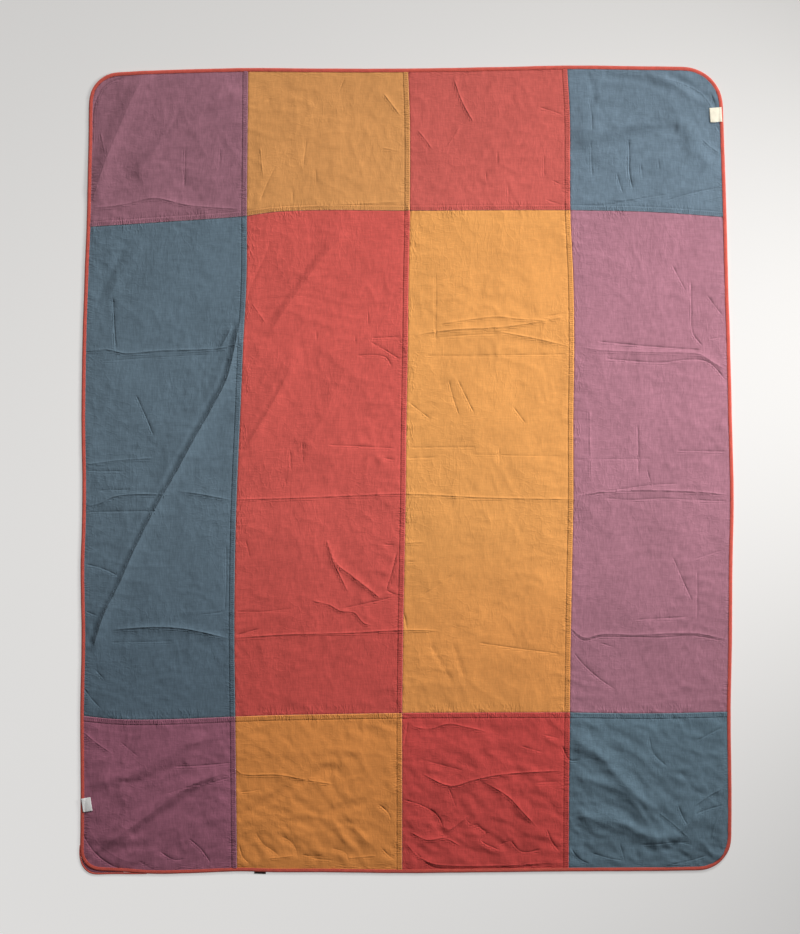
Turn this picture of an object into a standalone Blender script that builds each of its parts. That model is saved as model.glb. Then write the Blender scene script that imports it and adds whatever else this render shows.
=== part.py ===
"""A colour-block beach blanket of washed cotton, spread out flat.

Twelve panels in four columns and three rows, a rounded binding all round, two sewn-in labels, a
tab that peeks out at the foot edge, and a strip of the back that shows under one corner.
Metres, +Z up. The blanket lies on Z = 0 with its long side along Y, and its creases and drag
folds rise from there. The tables give places in centimetres from the blanket's middle and the
folds' sizes in millimetres.
"""

import math
from collections import namedtuple

import bmesh
import bpy
from mathutils import Vector
from mathutils.bvhtree import BVHTree
from mathutils.geometry import delaunay_2d_cdt

CM = 0.01
MM = 0.001

# Cloth and trims
CLOTH_THICKNESS = 2.4 * MM
PIECE_GAP = 0.3 * MM
BINDING_WIDTH = 8.4 * MM
BINDING_HEIGHT = 4.8 * MM
LABEL_THICKNESS = 1.0 * MM

# How closely the sheets are divided
FILL_PITCH = 54 * MM
LINE_PITCH = 42 * MM
EDGE_PITCH = 58 * MM
CORNER_STEPS = 7
CLEAR_OF_SEAM = 9 * MM
ON_SEAM = 2 * MM
CLEAR_OF_LINES = 0.55 * FILL_PITCH
MERGED_WITHIN = 0.2 * MM
INSIDE_THE_EDGES = 1
SETTLING_ROUNDS = 6
SMOOTH_UP_TO = math.radians(40)
ABOVE_ALL = 1.0

# How the folds end
FOLD_END_EASE = 42 * MM
EDGE_EASE = 50 * MM
EDGE_SHARE = 0.3
BLEND_POWER = 3

# Where the side edges and the upright seams lie, from the foot to the head, in cm
Upright = namedtuple("Upright", "y left seam_1 seam_2 seam_3 right")
UPRIGHTS = (
    Upright(-93.5, -76.0, -39.5, -1.1, 37.6, 75.4),
    Upright(-74.4, -75.8, -39.7, -1.1, 37.7, 75.5),
    Upright(-57.0, -75.9, -39.9, -1.1, 37.9, 75.3),
    Upright(-39.5, -75.6, -40.1, -0.9, 38.1, 75.6),
    Upright(-23.3, -75.8, -40.0, -0.6, 38.4, 75.7),
    Upright(-7.0, -75.4, -39.6, -0.3, 38.7, 76.0),
    Upright(11.6, -75.6, -38.8, -0.1, 38.7, 75.6),
    Upright(27.9, -75.4, -38.1, 0.2, 38.9, 75.2),
    Upright(44.2, -74.9, -37.3, 0.4, 38.7, 74.7),
    Upright(60.4, -74.3, -37.2, 0.7, 38.0, 74.3),
    Upright(81.4, -73.9, -37.0, 0.7, 37.9, 73.6),
    Upright(93.0, -73.8, -36.9, 0.3, 37.3, 73.3),
)
# Where the foot and head edges and the level seams lie, from left to right, in cm
Level = namedtuple("Level", "x foot seam_1 seam_2 head")
LEVELS = (
    Level(-76.0, -93.0, -57.1, 56.4, 92.1),
    Level(-67.8, -93.3, -57.9, 56.9, 92.4),
    Level(-57.4, -93.9, -58.0, 57.6, 92.9),
    Level(-38.8, -93.3, -57.3, 58.9, 93.4),
    Level(-30.6, -93.5, -57.0, 60.0, 93.4),
    Level(-20.2, -93.5, -56.8, 60.4, 93.3),
    Level(-0.2, -93.7, -56.5, 60.3, 93.3),
    Level(19.4, -93.5, -56.4, 60.4, 93.6),
    Level(38.0, -93.3, -56.4, 60.4, 94.0),
    Level(56.6, -93.2, -56.6, 60.0, 93.8),
    Level(75.2, -93.0, -56.2, 58.7, 93.6),
)
CORNER_RADII = {"foot_left": 4.7, "foot_right": 7.7, "head_right": 9.3, "head_left": 7.0}

# The folds that show from a step away. rise is at the crest; left and right are how far the
# fold spreads to either hand of someone who walks along the path, in mm; the path is in cm.
Fold = namedtuple("Fold", "name rise left right path")
FOLDS = (
    Fold("packing crease, upper, column 1", 5, 14, 26,
         ((-74.5, 27.7), (-69.5, 28.0), (-65.3, 27.1), (-58.3, 27.7), (-43.4, 28.3), (-39, 29.5))),
    Fold("packing crease, upper, column 3, left", 5, 18, 26,
         ((1.5, 31.0), (3.3, 31.6), (11.6, 32.7), (21.9, 33.2), (32.6, 34.8), (38, 36))),
    Fold("packing crease, upper, column 3, right", 4, 16, 22,
         ((19, 32.6), (29.4, 30.7), (38.5, 28.6))),
    Fold("packing crease, upper, column 4", 5, 14, 30,
         ((40, 28.6), (44.9, 27.9), (55.9, 27.4), (67.9, 27.0), (71.0, 25.1), (75.2, 22.8))),
    Fold("packing crease, middle, column 1, left", 5, 16, 26,
         ((-75, -8.6), (-71.1, -7.7), (-68.5, -6.3), (-63.5, -5.6), (-54, -5.8))),
    Fold("packing crease, middle, column 1, right", 4, 14, 20,
         ((-54, -4.8), (-48.5, -5.5), (-39.6, -7.2))),
    Fold("packing crease, middle, columns 2 and 3", 4, 14, 24,
         ((-41, -6.9), (-24.1, -6.4), (-12, -5.9), (-0.5, -5.5), (18.7, -6.4), (39.5, -6.8))),
    Fold("packing crease, middle, column 4", 5, 16, 26,
         ((38, -6.4), (43.1, -5.4), (52.4, -4.7), (66.6, -5.0), (76, -5.9))),
    Fold("packing crease, lower, column 1", 5, 14, 28,
         ((-69, -37.2), (-62, -36.6), (-55.7, -36.5), (-49.7, -37.2), (-41, -39.2))),
    Fold("packing crease, lower, column 2", 5, 14, 24,
         ((-40.5, -39.0), (-27.4, -38.2), (-14.9, -37.9), (-0.5, -37.2), (8, -37.4))),
    Fold("packing crease, lower, column 4", 5, 14, 24,
         ((37, -35.8), (41.2, -39.0), (45.2, -38.1), (53.1, -38.3), (66.6, -37.9), (75.2, -39.6))),
    Fold("packing crease, head, column 1", 4, 16, 22,
         ((-74, 60.8), (-66.4, 61.6), (-58.5, 63.2), (-51.1, 61.6), (-38, 60.6))),
    Fold("drag fold, column 1", 14, 44, 26,
         ((-38.5, 36), (-41.5, 22), (-45.2, 14.4), (-49.3, 7.2), (-54.4, -2.1), (-58.6, -9.3),
          (-63.6, -19.3), (-67.1, -27.2), (-70.2, -33.3), (-73.4, -42.8))),
    Fold("drag fold, column 1, head end", 6, 26, 26,
         ((-61, 53), (-66, 46), (-69.5, 39.5))),
    Fold("drag fold, column 2, upper", 6, 34, 26,
         ((-13, 56), (-18, 51), (-23.4, 44.2), (-28.7, 36.6), (-32.8, 30.5))),
    Fold("drag fold, column 2, lower", 5, 32, 26,
         ((-25, 27.2), (-28.6, 20.4), (-32.8, 12.9), (-37.5, 5.0))),
    Fold("crease, column 2, foot side", 5, 20, 20,
         ((-18.5, -15.8), (-16.5, -21.5), (-12.6, -24.6), (-5.8, -29.8))),
    Fold("drag fold, head left panel", 6, 30, 26,
         ((-59.5, 90), (-64.3, 82.2), (-67.8, 75.8), (-72, 67.2))),
    Fold("drag fold, foot left panel", 8, 30, 28,
         ((-70.5, -85.6), (-60.2, -78.6), (-45.0, -70.8))),
    Fold("corner fold, foot left panel", 6, 34, 12,
         ((-75.3, -80), (-72.2, -86.1), (-69.2, -88.8), (-65.3, -90.8), (-59, -91.7))),
    Fold("crease, foot panel 2", 5, 16, 22,
         ((-40.5, -68.5), (-38.5, -70.6), (-29.9, -70.8), (-23.4, -72.0), (-17, -73.2))),
    Fold("crease, foot panel 3", 6, 18, 22,
         ((3.0, -70.2), (8.0, -72.8), (10.9, -73.4), (15.2, -72.1), (22.3, -70.7), (37, -69.8))),
    Fold("branch, foot panel 3", 4, 18, 22,
         ((18.7, -72.7), (23.3, -75.6), (26.6, -79.0), (31, -83.2))),
    Fold("hem fold, foot panel 3", 6, 16, 18,
         ((1.7, -86.8), (5.5, -90.2), (9, -91.0), (25.9, -90.8), (33, -89.4))),
    Fold("drag fold, foot right panel, upper", 7, 30, 26,
         ((38.5, -62.0), (46.2, -65.8), (52.4, -72.4), (59, -77.0))),
    Fold("drag fold, foot right panel, lower", 7, 26, 30,
         ((39.1, -79.0), (46, -80.4), (54, -83.4), (64, -84.6), (72, -85.2))),
    Fold("corner fold, head right panel", 6, 14, 26,
         ((58.5, 89.4), (64.6, 88.2), (68.4, 85.6), (71, 80.8))),
    Fold("soft fold, head right panel", 5, 26, 30,
         ((40, 72.6), (51.0, 74.6), (58.3, 76.0), (66, 79))),
)

# The binding's cross-section: shares of its width, from the outer side in, and of its height
Section = namedtuple("Section", "inward height")
BINDING_SECTION = (
    Section(0.16, 0.0),
    Section(0.0, 0.24),
    Section(0.0, 0.62),
    Section(0.22, 0.93),
    Section(0.5, 1.0),
    Section(0.78, 0.93),
    Section(1.0, 0.62),
    Section(1.0, 0.24),
    Section(0.84, 0.0),
)

# The strip of the back that shows under the foot left corner: how far it reaches past the
# binding, and how wide its own edging is, at shares of the way round that corner, in mm
Peep = namedtuple("Peep", "share reach edging")
CORNER_PEEP = (
    Peep(0.00, 1.2, 0.9),
    Peep(0.14, 4.0, 3.4),
    Peep(0.24, 9.0, 4.2),
    Peep(0.33, 11.5, 4.2),
    Peep(0.44, 9.0, 4.2),
    Peep(0.62, 6.6, 4.2),
    Peep(0.80, 4.6, 4.3),
    Peep(1.00, 1.2, 0.9),
)
PEEP_FROM_Y = -87.6
PEEP_TO_X = -60.5
PEEP_SHEET = 1.2 * MM
PEEP_EDGING_HEIGHT = 2.2 * MM
PEEP_LEAST = 0.8 * MM

# Labels and tab, in cm: the middle of the part on the panel, the size, the turn in degrees
Label = namedtuple("Label", "name colour x y wide tall turn")
LABELS = (
    Label("woven_label", "cream", 71.8, 82.5, 2.8, 3.4, 4),
    Label("care_label", "white", -74.35, -77.8, 2.2, 3.2, 9),
)
LABEL_STEPS = 6
LABEL_FEEL = 3 * MM
TAB_X = -34.1
TAB_WIDE = 2.7
TAB_SHOWS = 4.6 * MM
TAB_THICKNESS = 1.2 * MM
TAB_GAP = 0.4 * MM
TAB_STOPS = (-0.5, -0.25, 0, 0.25, 0.5)

COLUMNS = 4
ROWS = 3
# From the foot row to the head row, each from left to right
PANEL_COLOURS = (
    ("mauve", "ochre", "red", "blue"),
    ("blue", "red", "ochre", "mauve"),
    ("mauve", "ochre", "red", "blue"),
)
ROW_NAMES = ("foot", "long", "head")
COLOURS = {
    "mauve": (0.26, 0.12, 0.17),
    "ochre": (0.60, 0.31, 0.09),
    "red": (0.50, 0.09, 0.07),
    "blue": (0.11, 0.17, 0.21),
    "coral": (0.62, 0.12, 0.08),
    "cream": (0.85, 0.81, 0.72),
    "white": (0.86, 0.86, 0.84),
    "brown": (0.07, 0.04, 0.03),
}


def smooth_between(places, values, place):
    """A smooth curve through a few values, read at one place."""
    last = len(places) - 1
    i = 0
    while i < last - 1 and place > places[i + 1]:
        i += 1
    step = places[i + 1] - places[i]
    t = min(1.0, max(0.0, (place - places[i]) / step))
    slopes = []
    for k in (i, i + 1):
        before, after = max(k - 1, 0), min(k + 1, last)
        slopes.append((values[after] - values[before]) / (places[after] - places[before]) * step)
    start = (2 * t**3 - 3 * t**2 + 1) * values[i] + (t**3 - 2 * t**2 + t) * slopes[0]
    end = (3 * t**2 - 2 * t**3) * values[i + 1] + (t**3 - t**2) * slopes[1]
    return start + end


def upright_at(line, y):
    """X of an upright line: 0 is the left edge, 1 to 3 the seams, 4 the right edge."""
    heights = [row.y * CM for row in UPRIGHTS]
    return smooth_between(heights, [row[line + 1] * CM for row in UPRIGHTS], y)


def level_at(line, x):
    """Y of a level line: 0 is the foot edge, 1 and 2 the seams, 3 the head edge."""
    places = [row.x * CM for row in LEVELS]
    return smooth_between(places, [row[line + 1] * CM for row in LEVELS], x)


def crossing(upright, level):
    """Where an upright line meets a level line."""
    x, y = 0.0, 0.0
    for _ in range(SETTLING_ROUNDS):
        x = upright_at(upright, y)
        y = level_at(level, x)
    return x, y


def between(start, end, pitch):
    """Evenly spaced values from start to just before end."""
    count = max(1, math.ceil(abs(end - start) / pitch))
    return [start + (end - start) * k / count for k in range(count)]


def corner_middle(upright, level, radius):
    """The middle of the round corner between an edge line and another."""
    inward_x = 1 if upright == 0 else -1
    inward_y = 1 if level == 0 else -1
    x, y = crossing(upright, level)
    for _ in range(SETTLING_ROUNDS):
        x = upright_at(upright, y) + inward_x * radius
        y = level_at(level, x) + inward_y * radius
    return x, y


def corner_arc(middle, radius, first_angle):
    """The points of a quarter turn, without its last one."""
    turn = math.pi / 2 / CORNER_STEPS
    angles = [first_angle + turn * k for k in range(CORNER_STEPS)]
    return [(middle[0] + radius * math.cos(a), middle[1] + radius * math.sin(a)) for a in angles]


def side_points(line, along_x, start, stops, end):
    """Points along one edge line, with a point at every seam that ends there."""
    points = []
    marks = [start, *stops, end]
    for a, b in zip(marks, marks[1:]):
        for place in between(a, b, EDGE_PITCH):
            points.append((place, level_at(line, place)) if along_x else (upright_at(line, place), place))
    return points


def perimeter():
    """The blanket's outer edge, anticlockwise from the foot edge's left end."""
    radius = {name: value * CM for name, value in CORNER_RADII.items()}
    foot_left = corner_middle(0, 0, radius["foot_left"])
    foot_right = corner_middle(COLUMNS, 0, radius["foot_right"])
    head_right = corner_middle(COLUMNS, ROWS, radius["head_right"])
    head_left = corner_middle(0, ROWS, radius["head_left"])
    across = range(1, COLUMNS)
    up = range(1, ROWS)
    points = side_points(0, True, foot_left[0], [crossing(k, 0)[0] for k in across], foot_right[0])
    points += corner_arc(foot_right, radius["foot_right"], -math.pi / 2)
    stops = [crossing(COLUMNS, k)[1] for k in up]
    points += side_points(COLUMNS, False, foot_right[1], stops, head_right[1])
    points += corner_arc(head_right, radius["head_right"], 0)
    stops = [crossing(k, ROWS)[0] for k in reversed(across)]
    points += side_points(ROWS, True, head_right[0], stops, head_left[0])
    points += corner_arc(head_left, radius["head_left"], math.pi / 2)
    stops = [crossing(0, k)[1] for k in reversed(up)]
    points += side_points(0, False, head_left[1], stops, foot_left[1])
    points += corner_arc(foot_left, radius["foot_left"], math.pi)
    return points


def outward(points):
    """The direction away from the blanket at each point of its closed edge."""
    directions = []
    for i in range(len(points)):
        before, after = points[i - 1], points[(i + 1) % len(points)]
        along_x, along_y = after[0] - before[0], after[1] - before[1]
        length = math.hypot(along_x, along_y)
        directions.append((along_y / length, -along_x / length))
    return directions


def moved(points, directions, distance):
    """The points moved along their directions, by one distance or by one each."""
    far = distance if isinstance(distance, list) else [distance] * len(points)
    return [(p[0] + d[0] * f, p[1] + d[1] * f) for p, d, f in zip(points, directions, far)]


def resampled(path, pitch):
    """A smooth line through a few points, with points about one pitch apart."""
    along = [0.0]
    for a, b in zip(path, path[1:]):
        along.append(along[-1] + math.dist(a, b))
    places = between(0.0, along[-1], pitch) + [along[-1]]
    return [tuple(smooth_between(along, [p[k] for p in path], place) for k in (0, 1)) for place in places]


FOLD_LINES = [resampled([(x * CM, y * CM) for x, y in fold.path], LINE_PITCH) for fold in FOLDS]


def ease(share):
    """From 0 to 1 without a kink at either end."""
    t = min(1.0, max(0.0, share))
    return t * t * (3 - 2 * t)


def one_fold(fold, line, x, y):
    """How high one fold lifts the cloth at a place."""
    nearest, place, side, total = math.inf, 0.0, 1.0, 0.0
    for a, b in zip(line, line[1:]):
        run_x, run_y = b[0] - a[0], b[1] - a[1]
        length = math.hypot(run_x, run_y)
        t = ((x - a[0]) * run_x + (y - a[1]) * run_y) / length**2
        t = min(1.0, max(0.0, t))
        away_x, away_y = x - a[0] - t * run_x, y - a[1] - t * run_y
        distance = math.hypot(away_x, away_y)
        if distance < nearest:
            nearest = distance
            place = total + t * length
            side = run_x * away_y - run_y * away_x
        total += length
    width = (fold.left if side > 0 else fold.right) * MM
    if nearest >= width:
        return 0.0
    ends = ease(place / FOLD_END_EASE) * ease((total - place) / FOLD_END_EASE)
    return fold.rise * MM * math.cos(math.pi / 2 * nearest / width) ** 2 * ends


def edge_distance(x, y):
    """Roughly how far inside the blanket's edges a place is."""
    return min(x - upright_at(0, y), upright_at(COLUMNS, y) - x, y - level_at(0, x), level_at(ROWS, x) - y)


def lift(x, y):
    """How high the underside of the cloth lies above the ground."""
    heights = [one_fold(fold, line, x, y) for fold, line in zip(FOLDS, FOLD_LINES)]
    total = sum(h**BLEND_POWER for h in heights) ** (1 / BLEND_POWER)
    held = EDGE_SHARE + (1 - EDGE_SHARE) * ease(edge_distance(x, y) / EDGE_EASE)
    return total * held


def seam_distance(x, y):
    """How far a place is from the nearest seam."""
    across = min(abs(x - upright_at(k, y)) for k in range(1, COLUMNS))
    up = min(abs(y - level_at(k, x)) for k in range(1, ROWS))
    return min(across, up)


def seam_line(line, upright, rim):
    """One seam's points, from where it leaves the rim to where it meets it again."""
    if upright:
        marks = [crossing(line, k)[1] for k in range(ROWS + 1)]
        ends = [crossing(line, k) for k in (0, ROWS)]
        inner = [y for a, b in zip(marks, marks[1:]) for y in between(a, b, LINE_PITCH)]
        points = [(upright_at(line, y), y) for y in inner[1:]]
    else:
        marks = [crossing(k, line)[0] for k in range(COLUMNS + 1)]
        ends = [crossing(k, line) for k in (0, COLUMNS)]
        inner = [x for a, b in zip(marks, marks[1:]) for x in between(a, b, LINE_PITCH)]
        points = [(x, level_at(line, x)) for x in inner[1:]]
    first, last = [min(rim, key=lambda p: math.dist(p, end)) for end in ends]
    return [first, *points, last]


def fold_guides():
    """Lines along each fold's crest and both its feet, kept off the seams and inside the edge."""
    guides = []
    for fold, line in zip(FOLDS, FOLD_LINES):
        runs = []
        for i, point in enumerate(line):
            before, after = line[max(i - 1, 0)], line[min(i + 1, len(line) - 1)]
            length = math.dist(before, after)
            runs.append(((before[1] - after[1]) / length, (after[0] - before[0]) / length))
        for offset in (0.0, fold.left * MM, -fold.right * MM):
            kept = []
            for point in moved(line, runs, offset):
                inside = edge_distance(*point) > BINDING_WIDTH + CLEAR_OF_SEAM
                if inside and seam_distance(*point) > CLEAR_OF_SEAM:
                    kept.append(point)
            if len(kept) > 1:
                guides.append(kept)
    return guides


def middle_of(points):
    """The mean of a few points."""
    return sum(p[0] for p in points) / len(points), sum(p[1] for p in points) / len(points)


def encloses(outline, x, y):
    """Whether a closed outline goes round a place."""
    inside = False
    for a, b in zip(outline, outline[1:] + outline[:1]):
        if (a[1] > y) != (b[1] > y) and x < a[0] + (y - a[1]) / (b[1] - a[1]) * (b[0] - a[0]):
            inside = not inside
    return inside


def seams_at(x, y):
    """The seams that a point lies on, as pairs of direction and number."""
    found = {("upright", k) for k in range(1, COLUMNS) if abs(x - upright_at(k, y)) < ON_SEAM}
    return found | {("level", k) for k in range(1, ROWS) if abs(y - level_at(k, x)) < ON_SEAM}


def divided_sheet(rim):
    """The whole cloth as triangles, with edges along every seam and fold, and the seams' edges."""
    points, edges = list(rim), [(i, (i + 1) % len(rim)) for i in range(len(rim))]
    seams = [seam_line(k, True, rim) for k in range(1, COLUMNS)]
    seams += [seam_line(k, False, rim) for k in range(1, ROWS)]
    for line in seams + fold_guides():
        edges += [(len(points) + i, len(points) + i + 1) for i in range(len(line) - 1)]
        points += line
    lines_end = len(points)
    half_wide, half_tall = abs(UPRIGHTS[0].left) * CM, abs(LEVELS[0].foot) * CM
    for row, y in enumerate(between(-half_tall, half_tall, FILL_PITCH)):
        for x in between(-half_wide, half_wide, FILL_PITCH):
            place = (x + FILL_PITCH / 2 * (row % 2), y)
            inside = edge_distance(*place) > BINDING_WIDTH + FILL_PITCH / 2
            if inside and min(math.dist(place, p) for p in points[:lines_end]) > CLEAR_OF_LINES:
                points.append(place)
    divided = delaunay_2d_cdt(points, edges, [], INSIDE_THE_EDGES, MERGED_WITHIN, False)
    corners, made_edges, faces = divided[:3]
    on = [seams_at(*corner) for corner in corners]
    cuts = {tuple(sorted(edge)) for edge in made_edges if on[edge[0]] & on[edge[1]]}
    kept = [face for face in faces if encloses(rim, *middle_of([corners[i] for i in face]))]
    return corners, kept, cuts


def cut_apart(faces, cuts):
    """The triangles of each panel: those that join up without crossing a seam."""
    across = {}
    for i, face in enumerate(faces):
        for a, b in zip(face, face[1:] + face[:1]):
            across.setdefault(tuple(sorted((a, b))), []).append(i)
    left = set(range(len(faces)))
    panels = []
    while left:
        todo, panel = [left.pop()], []
        while todo:
            i = todo.pop()
            panel.append(faces[i])
            face = faces[i]
            for a, b in zip(face, face[1:] + face[:1]):
                edge = tuple(sorted((a, b)))
                for j in across[edge]:
                    if edge not in cuts and j in left:
                        left.remove(j)
                        todo.append(j)
        panels.append(panel)
    return panels


def finished(name, mesh_builder, colour):
    """An object of one closed body, with its faces out and its cloth's colour."""
    bmesh.ops.recalc_face_normals(mesh_builder, faces=mesh_builder.faces[:])
    mesh = bpy.data.meshes.new(name)
    mesh_builder.to_mesh(mesh)
    mesh_builder.free()
    mesh.shade_smooth()
    mesh.set_sharp_from_angle(angle=SMOOTH_UP_TO)
    mesh.materials.append(cloth_material(colour))
    obj = bpy.data.objects.new(name, mesh)
    bpy.context.scene.collection.objects.link(obj)
    return obj


def cloth_material(colour):
    """A matt cloth of one colour."""
    found = bpy.data.materials.get(colour)
    if found:
        return found
    material = bpy.data.materials.new(colour)
    material.use_nodes = True
    shader = material.node_tree.nodes["Principled BSDF"]
    shader.inputs["Base Color"].default_value = (*COLOURS[colour], 1.0)
    shader.inputs["Roughness"].default_value = 0.9
    shader.inputs["Metallic"].default_value = 0.0
    return material


def off_the_seams(column, row, x, y):
    """A panel's point, half a gap back from the seams that it lies on."""
    on, back = seams_at(x, y), PIECE_GAP / 2
    x += back * ((("upright", column) in on) - (("upright", column + 1) in on))
    y += back * ((("level", row) in on) - (("level", row + 1) in on))
    return x, y


def thick_sheet(places, faces, under, thickness):
    """A closed sheet: its underside at under(x, y), its top one thickness above."""
    builder = bmesh.new()
    corners = [builder.verts.new((x, y, under(x, y))) for x, y in places]
    for face in faces:
        builder.faces.new([corners[i] for i in face])
    raised = bmesh.ops.extrude_face_region(builder, geom=builder.faces[:])["geom"]
    for part in raised:
        if isinstance(part, bmesh.types.BMVert):
            part.co.z += thickness
    return builder


def make_panels(rim):
    """The twelve panels, each its own sheet."""
    corners, faces, cuts = divided_sheet(rim)
    panels = []
    for panel in cut_apart(faces, cuts):
        used = sorted({i for face in panel for i in face})
        middle_x, middle_y = middle_of([corners[i] for i in used])
        column = sum(middle_x > upright_at(k, middle_y) for k in range(1, COLUMNS))
        row = sum(middle_y > level_at(k, middle_x) for k in range(1, ROWS))
        places = [off_the_seams(column, row, *corners[i]) for i in used]
        order = {i: k for k, i in enumerate(used)}
        triangles = [[order[i] for i in face] for face in panel]
        builder = thick_sheet(places, triangles, lift, CLOTH_THICKNESS)
        name = f"panel_{ROW_NAMES[row]}_{column + 1}"
        panels.append(finished(name, builder, PANEL_COLOURS[row][column]))
    return panels


def make_binding(edge, directions):
    """The rounded binding, swept once round the blanket."""
    builder = bmesh.new()
    rings = []
    for point, away in zip(edge, directions):
        middle = (point[0] - away[0] * BINDING_WIDTH / 2, point[1] - away[1] * BINDING_WIDTH / 2)
        base = lift(*middle)
        ring = []
        for section in BINDING_SECTION:
            inward = section.inward * BINDING_WIDTH
            x, y = point[0] - away[0] * inward, point[1] - away[1] * inward
            ring.append(builder.verts.new((x, y, base + section.height * BINDING_HEIGHT)))
        rings.append(ring)
    for ring, following in zip(rings, rings[1:] + rings[:1]):
        for k in range(len(ring)):
            after = (k + 1) % len(ring)
            builder.faces.new((ring[k], ring[after], following[after], following[k]))
    return finished("binding", builder, "coral")


def strip(name, inner, outer, thickness, colour):
    """A thin closed strip on the ground between two lines of as many points."""
    builder = bmesh.new()
    low_inner = [builder.verts.new((x, y, 0.0)) for x, y in inner]
    low_outer = [builder.verts.new((x, y, 0.0)) for x, y in outer]
    for k in range(len(inner) - 1):
        builder.faces.new((low_inner[k], low_inner[k + 1], low_outer[k + 1], low_outer[k]))
    raised = bmesh.ops.extrude_face_region(builder, geom=builder.faces[:])["geom"]
    for part in raised:
        if isinstance(part, bmesh.types.BMVert):
            part.co.z += thickness
    return finished(name, builder, colour)


def make_corner_peep(edge, directions):
    """The strip of the back that shows under the foot left corner, and its edging."""
    first = max(i for i, p in enumerate(edge) if p[0] < 0 and p[1] > PEEP_FROM_Y * CM)
    last = min(i for i, p in enumerate(edge) if p[0] > PEEP_TO_X * CM)
    order = list(range(first, len(edge))) + list(range(0, last + 1))
    line = [edge[i] for i in order]
    away = [directions[i] for i in order]
    along = [0.0]
    for a, b in zip(line, line[1:]):
        along.append(along[-1] + math.dist(a, b))
    shares = [row.share for row in CORNER_PEEP]
    reach, edging = [], []
    for place in along:
        share = place / along[-1]
        reach.append(smooth_between(shares, [row.reach * MM for row in CORNER_PEEP], share))
        edging.append(smooth_between(shares, [row.edging * MM for row in CORNER_PEEP], share))
    inner_side = [max(r - e, PIECE_GAP) for r, e in zip(reach, edging)]
    rim = strip("corner_back_edging", moved(line, away, inner_side), moved(line, away, reach),
                PEEP_EDGING_HEIGHT, "coral")
    shows = [k for k, side in enumerate(inner_side) if side - 2 * PIECE_GAP > PEEP_LEAST]
    near = moved([line[k] for k in shows], [away[k] for k in shows], PIECE_GAP)
    far = moved([line[k] for k in shows], [away[k] for k in shows],
                [inner_side[k] - PIECE_GAP for k in shows])
    sliver = strip("corner_back", near, far, PEEP_SHEET, "mauve")
    return [rim, sliver]


def surface_tree(obj):
    """An object's faces, ready for finding what lies under a point."""
    mesh = obj.data
    return BVHTree.FromPolygons([v.co for v in mesh.vertices], [tuple(p.vertices) for p in mesh.polygons])


def top_of(trees, x, y):
    """The highest surface at a place."""
    hits = [tree.ray_cast(Vector((x, y, ABOVE_ALL)), Vector((0.0, 0.0, -1.0)))[0] for tree in trees]
    return max([hit.z for hit in hits if hit is not None], default=0.0)


def make_label(label, below):
    """A label that lies over its panel and, at its sewn end, over the binding."""
    turn = math.radians(label.turn)
    trees = [surface_tree(obj) for obj in below]
    reach = (-LABEL_FEEL, 0.0, LABEL_FEEL)

    def underside(x, y):
        return max(top_of(trees, x + dx, y + dy) for dx in reach for dy in reach) + PIECE_GAP

    places, faces = [], []
    for row in range(LABEL_STEPS + 1):
        for column in range(LABEL_STEPS + 1):
            across = (column / LABEL_STEPS - 0.5) * label.wide * CM
            up = (row / LABEL_STEPS - 0.5) * label.tall * CM
            x = label.x * CM + across * math.cos(turn) - up * math.sin(turn)
            y = label.y * CM + across * math.sin(turn) + up * math.cos(turn)
            places.append((x, y))
    for row in range(LABEL_STEPS):
        for column in range(LABEL_STEPS):
            i = row * (LABEL_STEPS + 1) + column
            faces.append((i, i + 1, i + LABEL_STEPS + 2, i + LABEL_STEPS + 1))
    return finished(label.name, thick_sheet(places, faces, underside, LABEL_THICKNESS), label.colour)


def make_tab():
    """The end of a tab that peeks out from under the foot edge."""
    places = [TAB_X * CM + TAB_WIDE * CM * share for share in TAB_STOPS]
    inner = [(x, level_at(0, x) - TAB_GAP) for x in places]
    outer = [(x, y - TAB_SHOWS) for x, y in inner]
    return strip("tab", inner, outer, TAB_THICKNESS, "brown")


def centred(objects):
    """The objects under one empty that puts the blanket's middle at the origin."""
    bpy.context.view_layer.update()
    corners = [obj.matrix_world @ vertex.co for obj in objects for vertex in obj.data.vertices]
    root = bpy.data.objects.new("beach_blanket", None)
    bpy.context.scene.collection.objects.link(root)
    root.location.x = -(min(c.x for c in corners) + max(c.x for c in corners)) / 2
    root.location.y = -(min(c.y for c in corners) + max(c.y for c in corners)) / 2
    for obj in objects:
        obj.parent = root


def main():
    for obj in list(bpy.data.objects):
        bpy.data.objects.remove(obj, do_unlink=True)
    edge = perimeter()
    directions = outward(edge)
    rim = moved(edge, directions, -(BINDING_WIDTH + PIECE_GAP))
    pieces = make_panels(rim)
    pieces.append(make_binding(edge, directions))
    labels = [make_label(label, pieces) for label in LABELS]
    pieces += labels + make_corner_peep(edge, directions)
    pieces.append(make_tab())
    centred(pieces)


main()
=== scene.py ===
"""The looks of a colour-block beach blanket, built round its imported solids.

Twelve panels of washed cotton, a rounded binding, the stitches of the seams, two sewn-in labels,
the strip of the back that shows under one corner, and a tab end. Metres, +Z up, with the
blanket's long side along Y. The tables give places in centimetres from the blanket's middle, and
heights and widths in millimetres, as the source of the solids does.
"""

import math
from collections import namedtuple

import bmesh
import bpy
import numpy as np
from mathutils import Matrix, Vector
from mathutils.bvhtree import BVHTree


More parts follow.
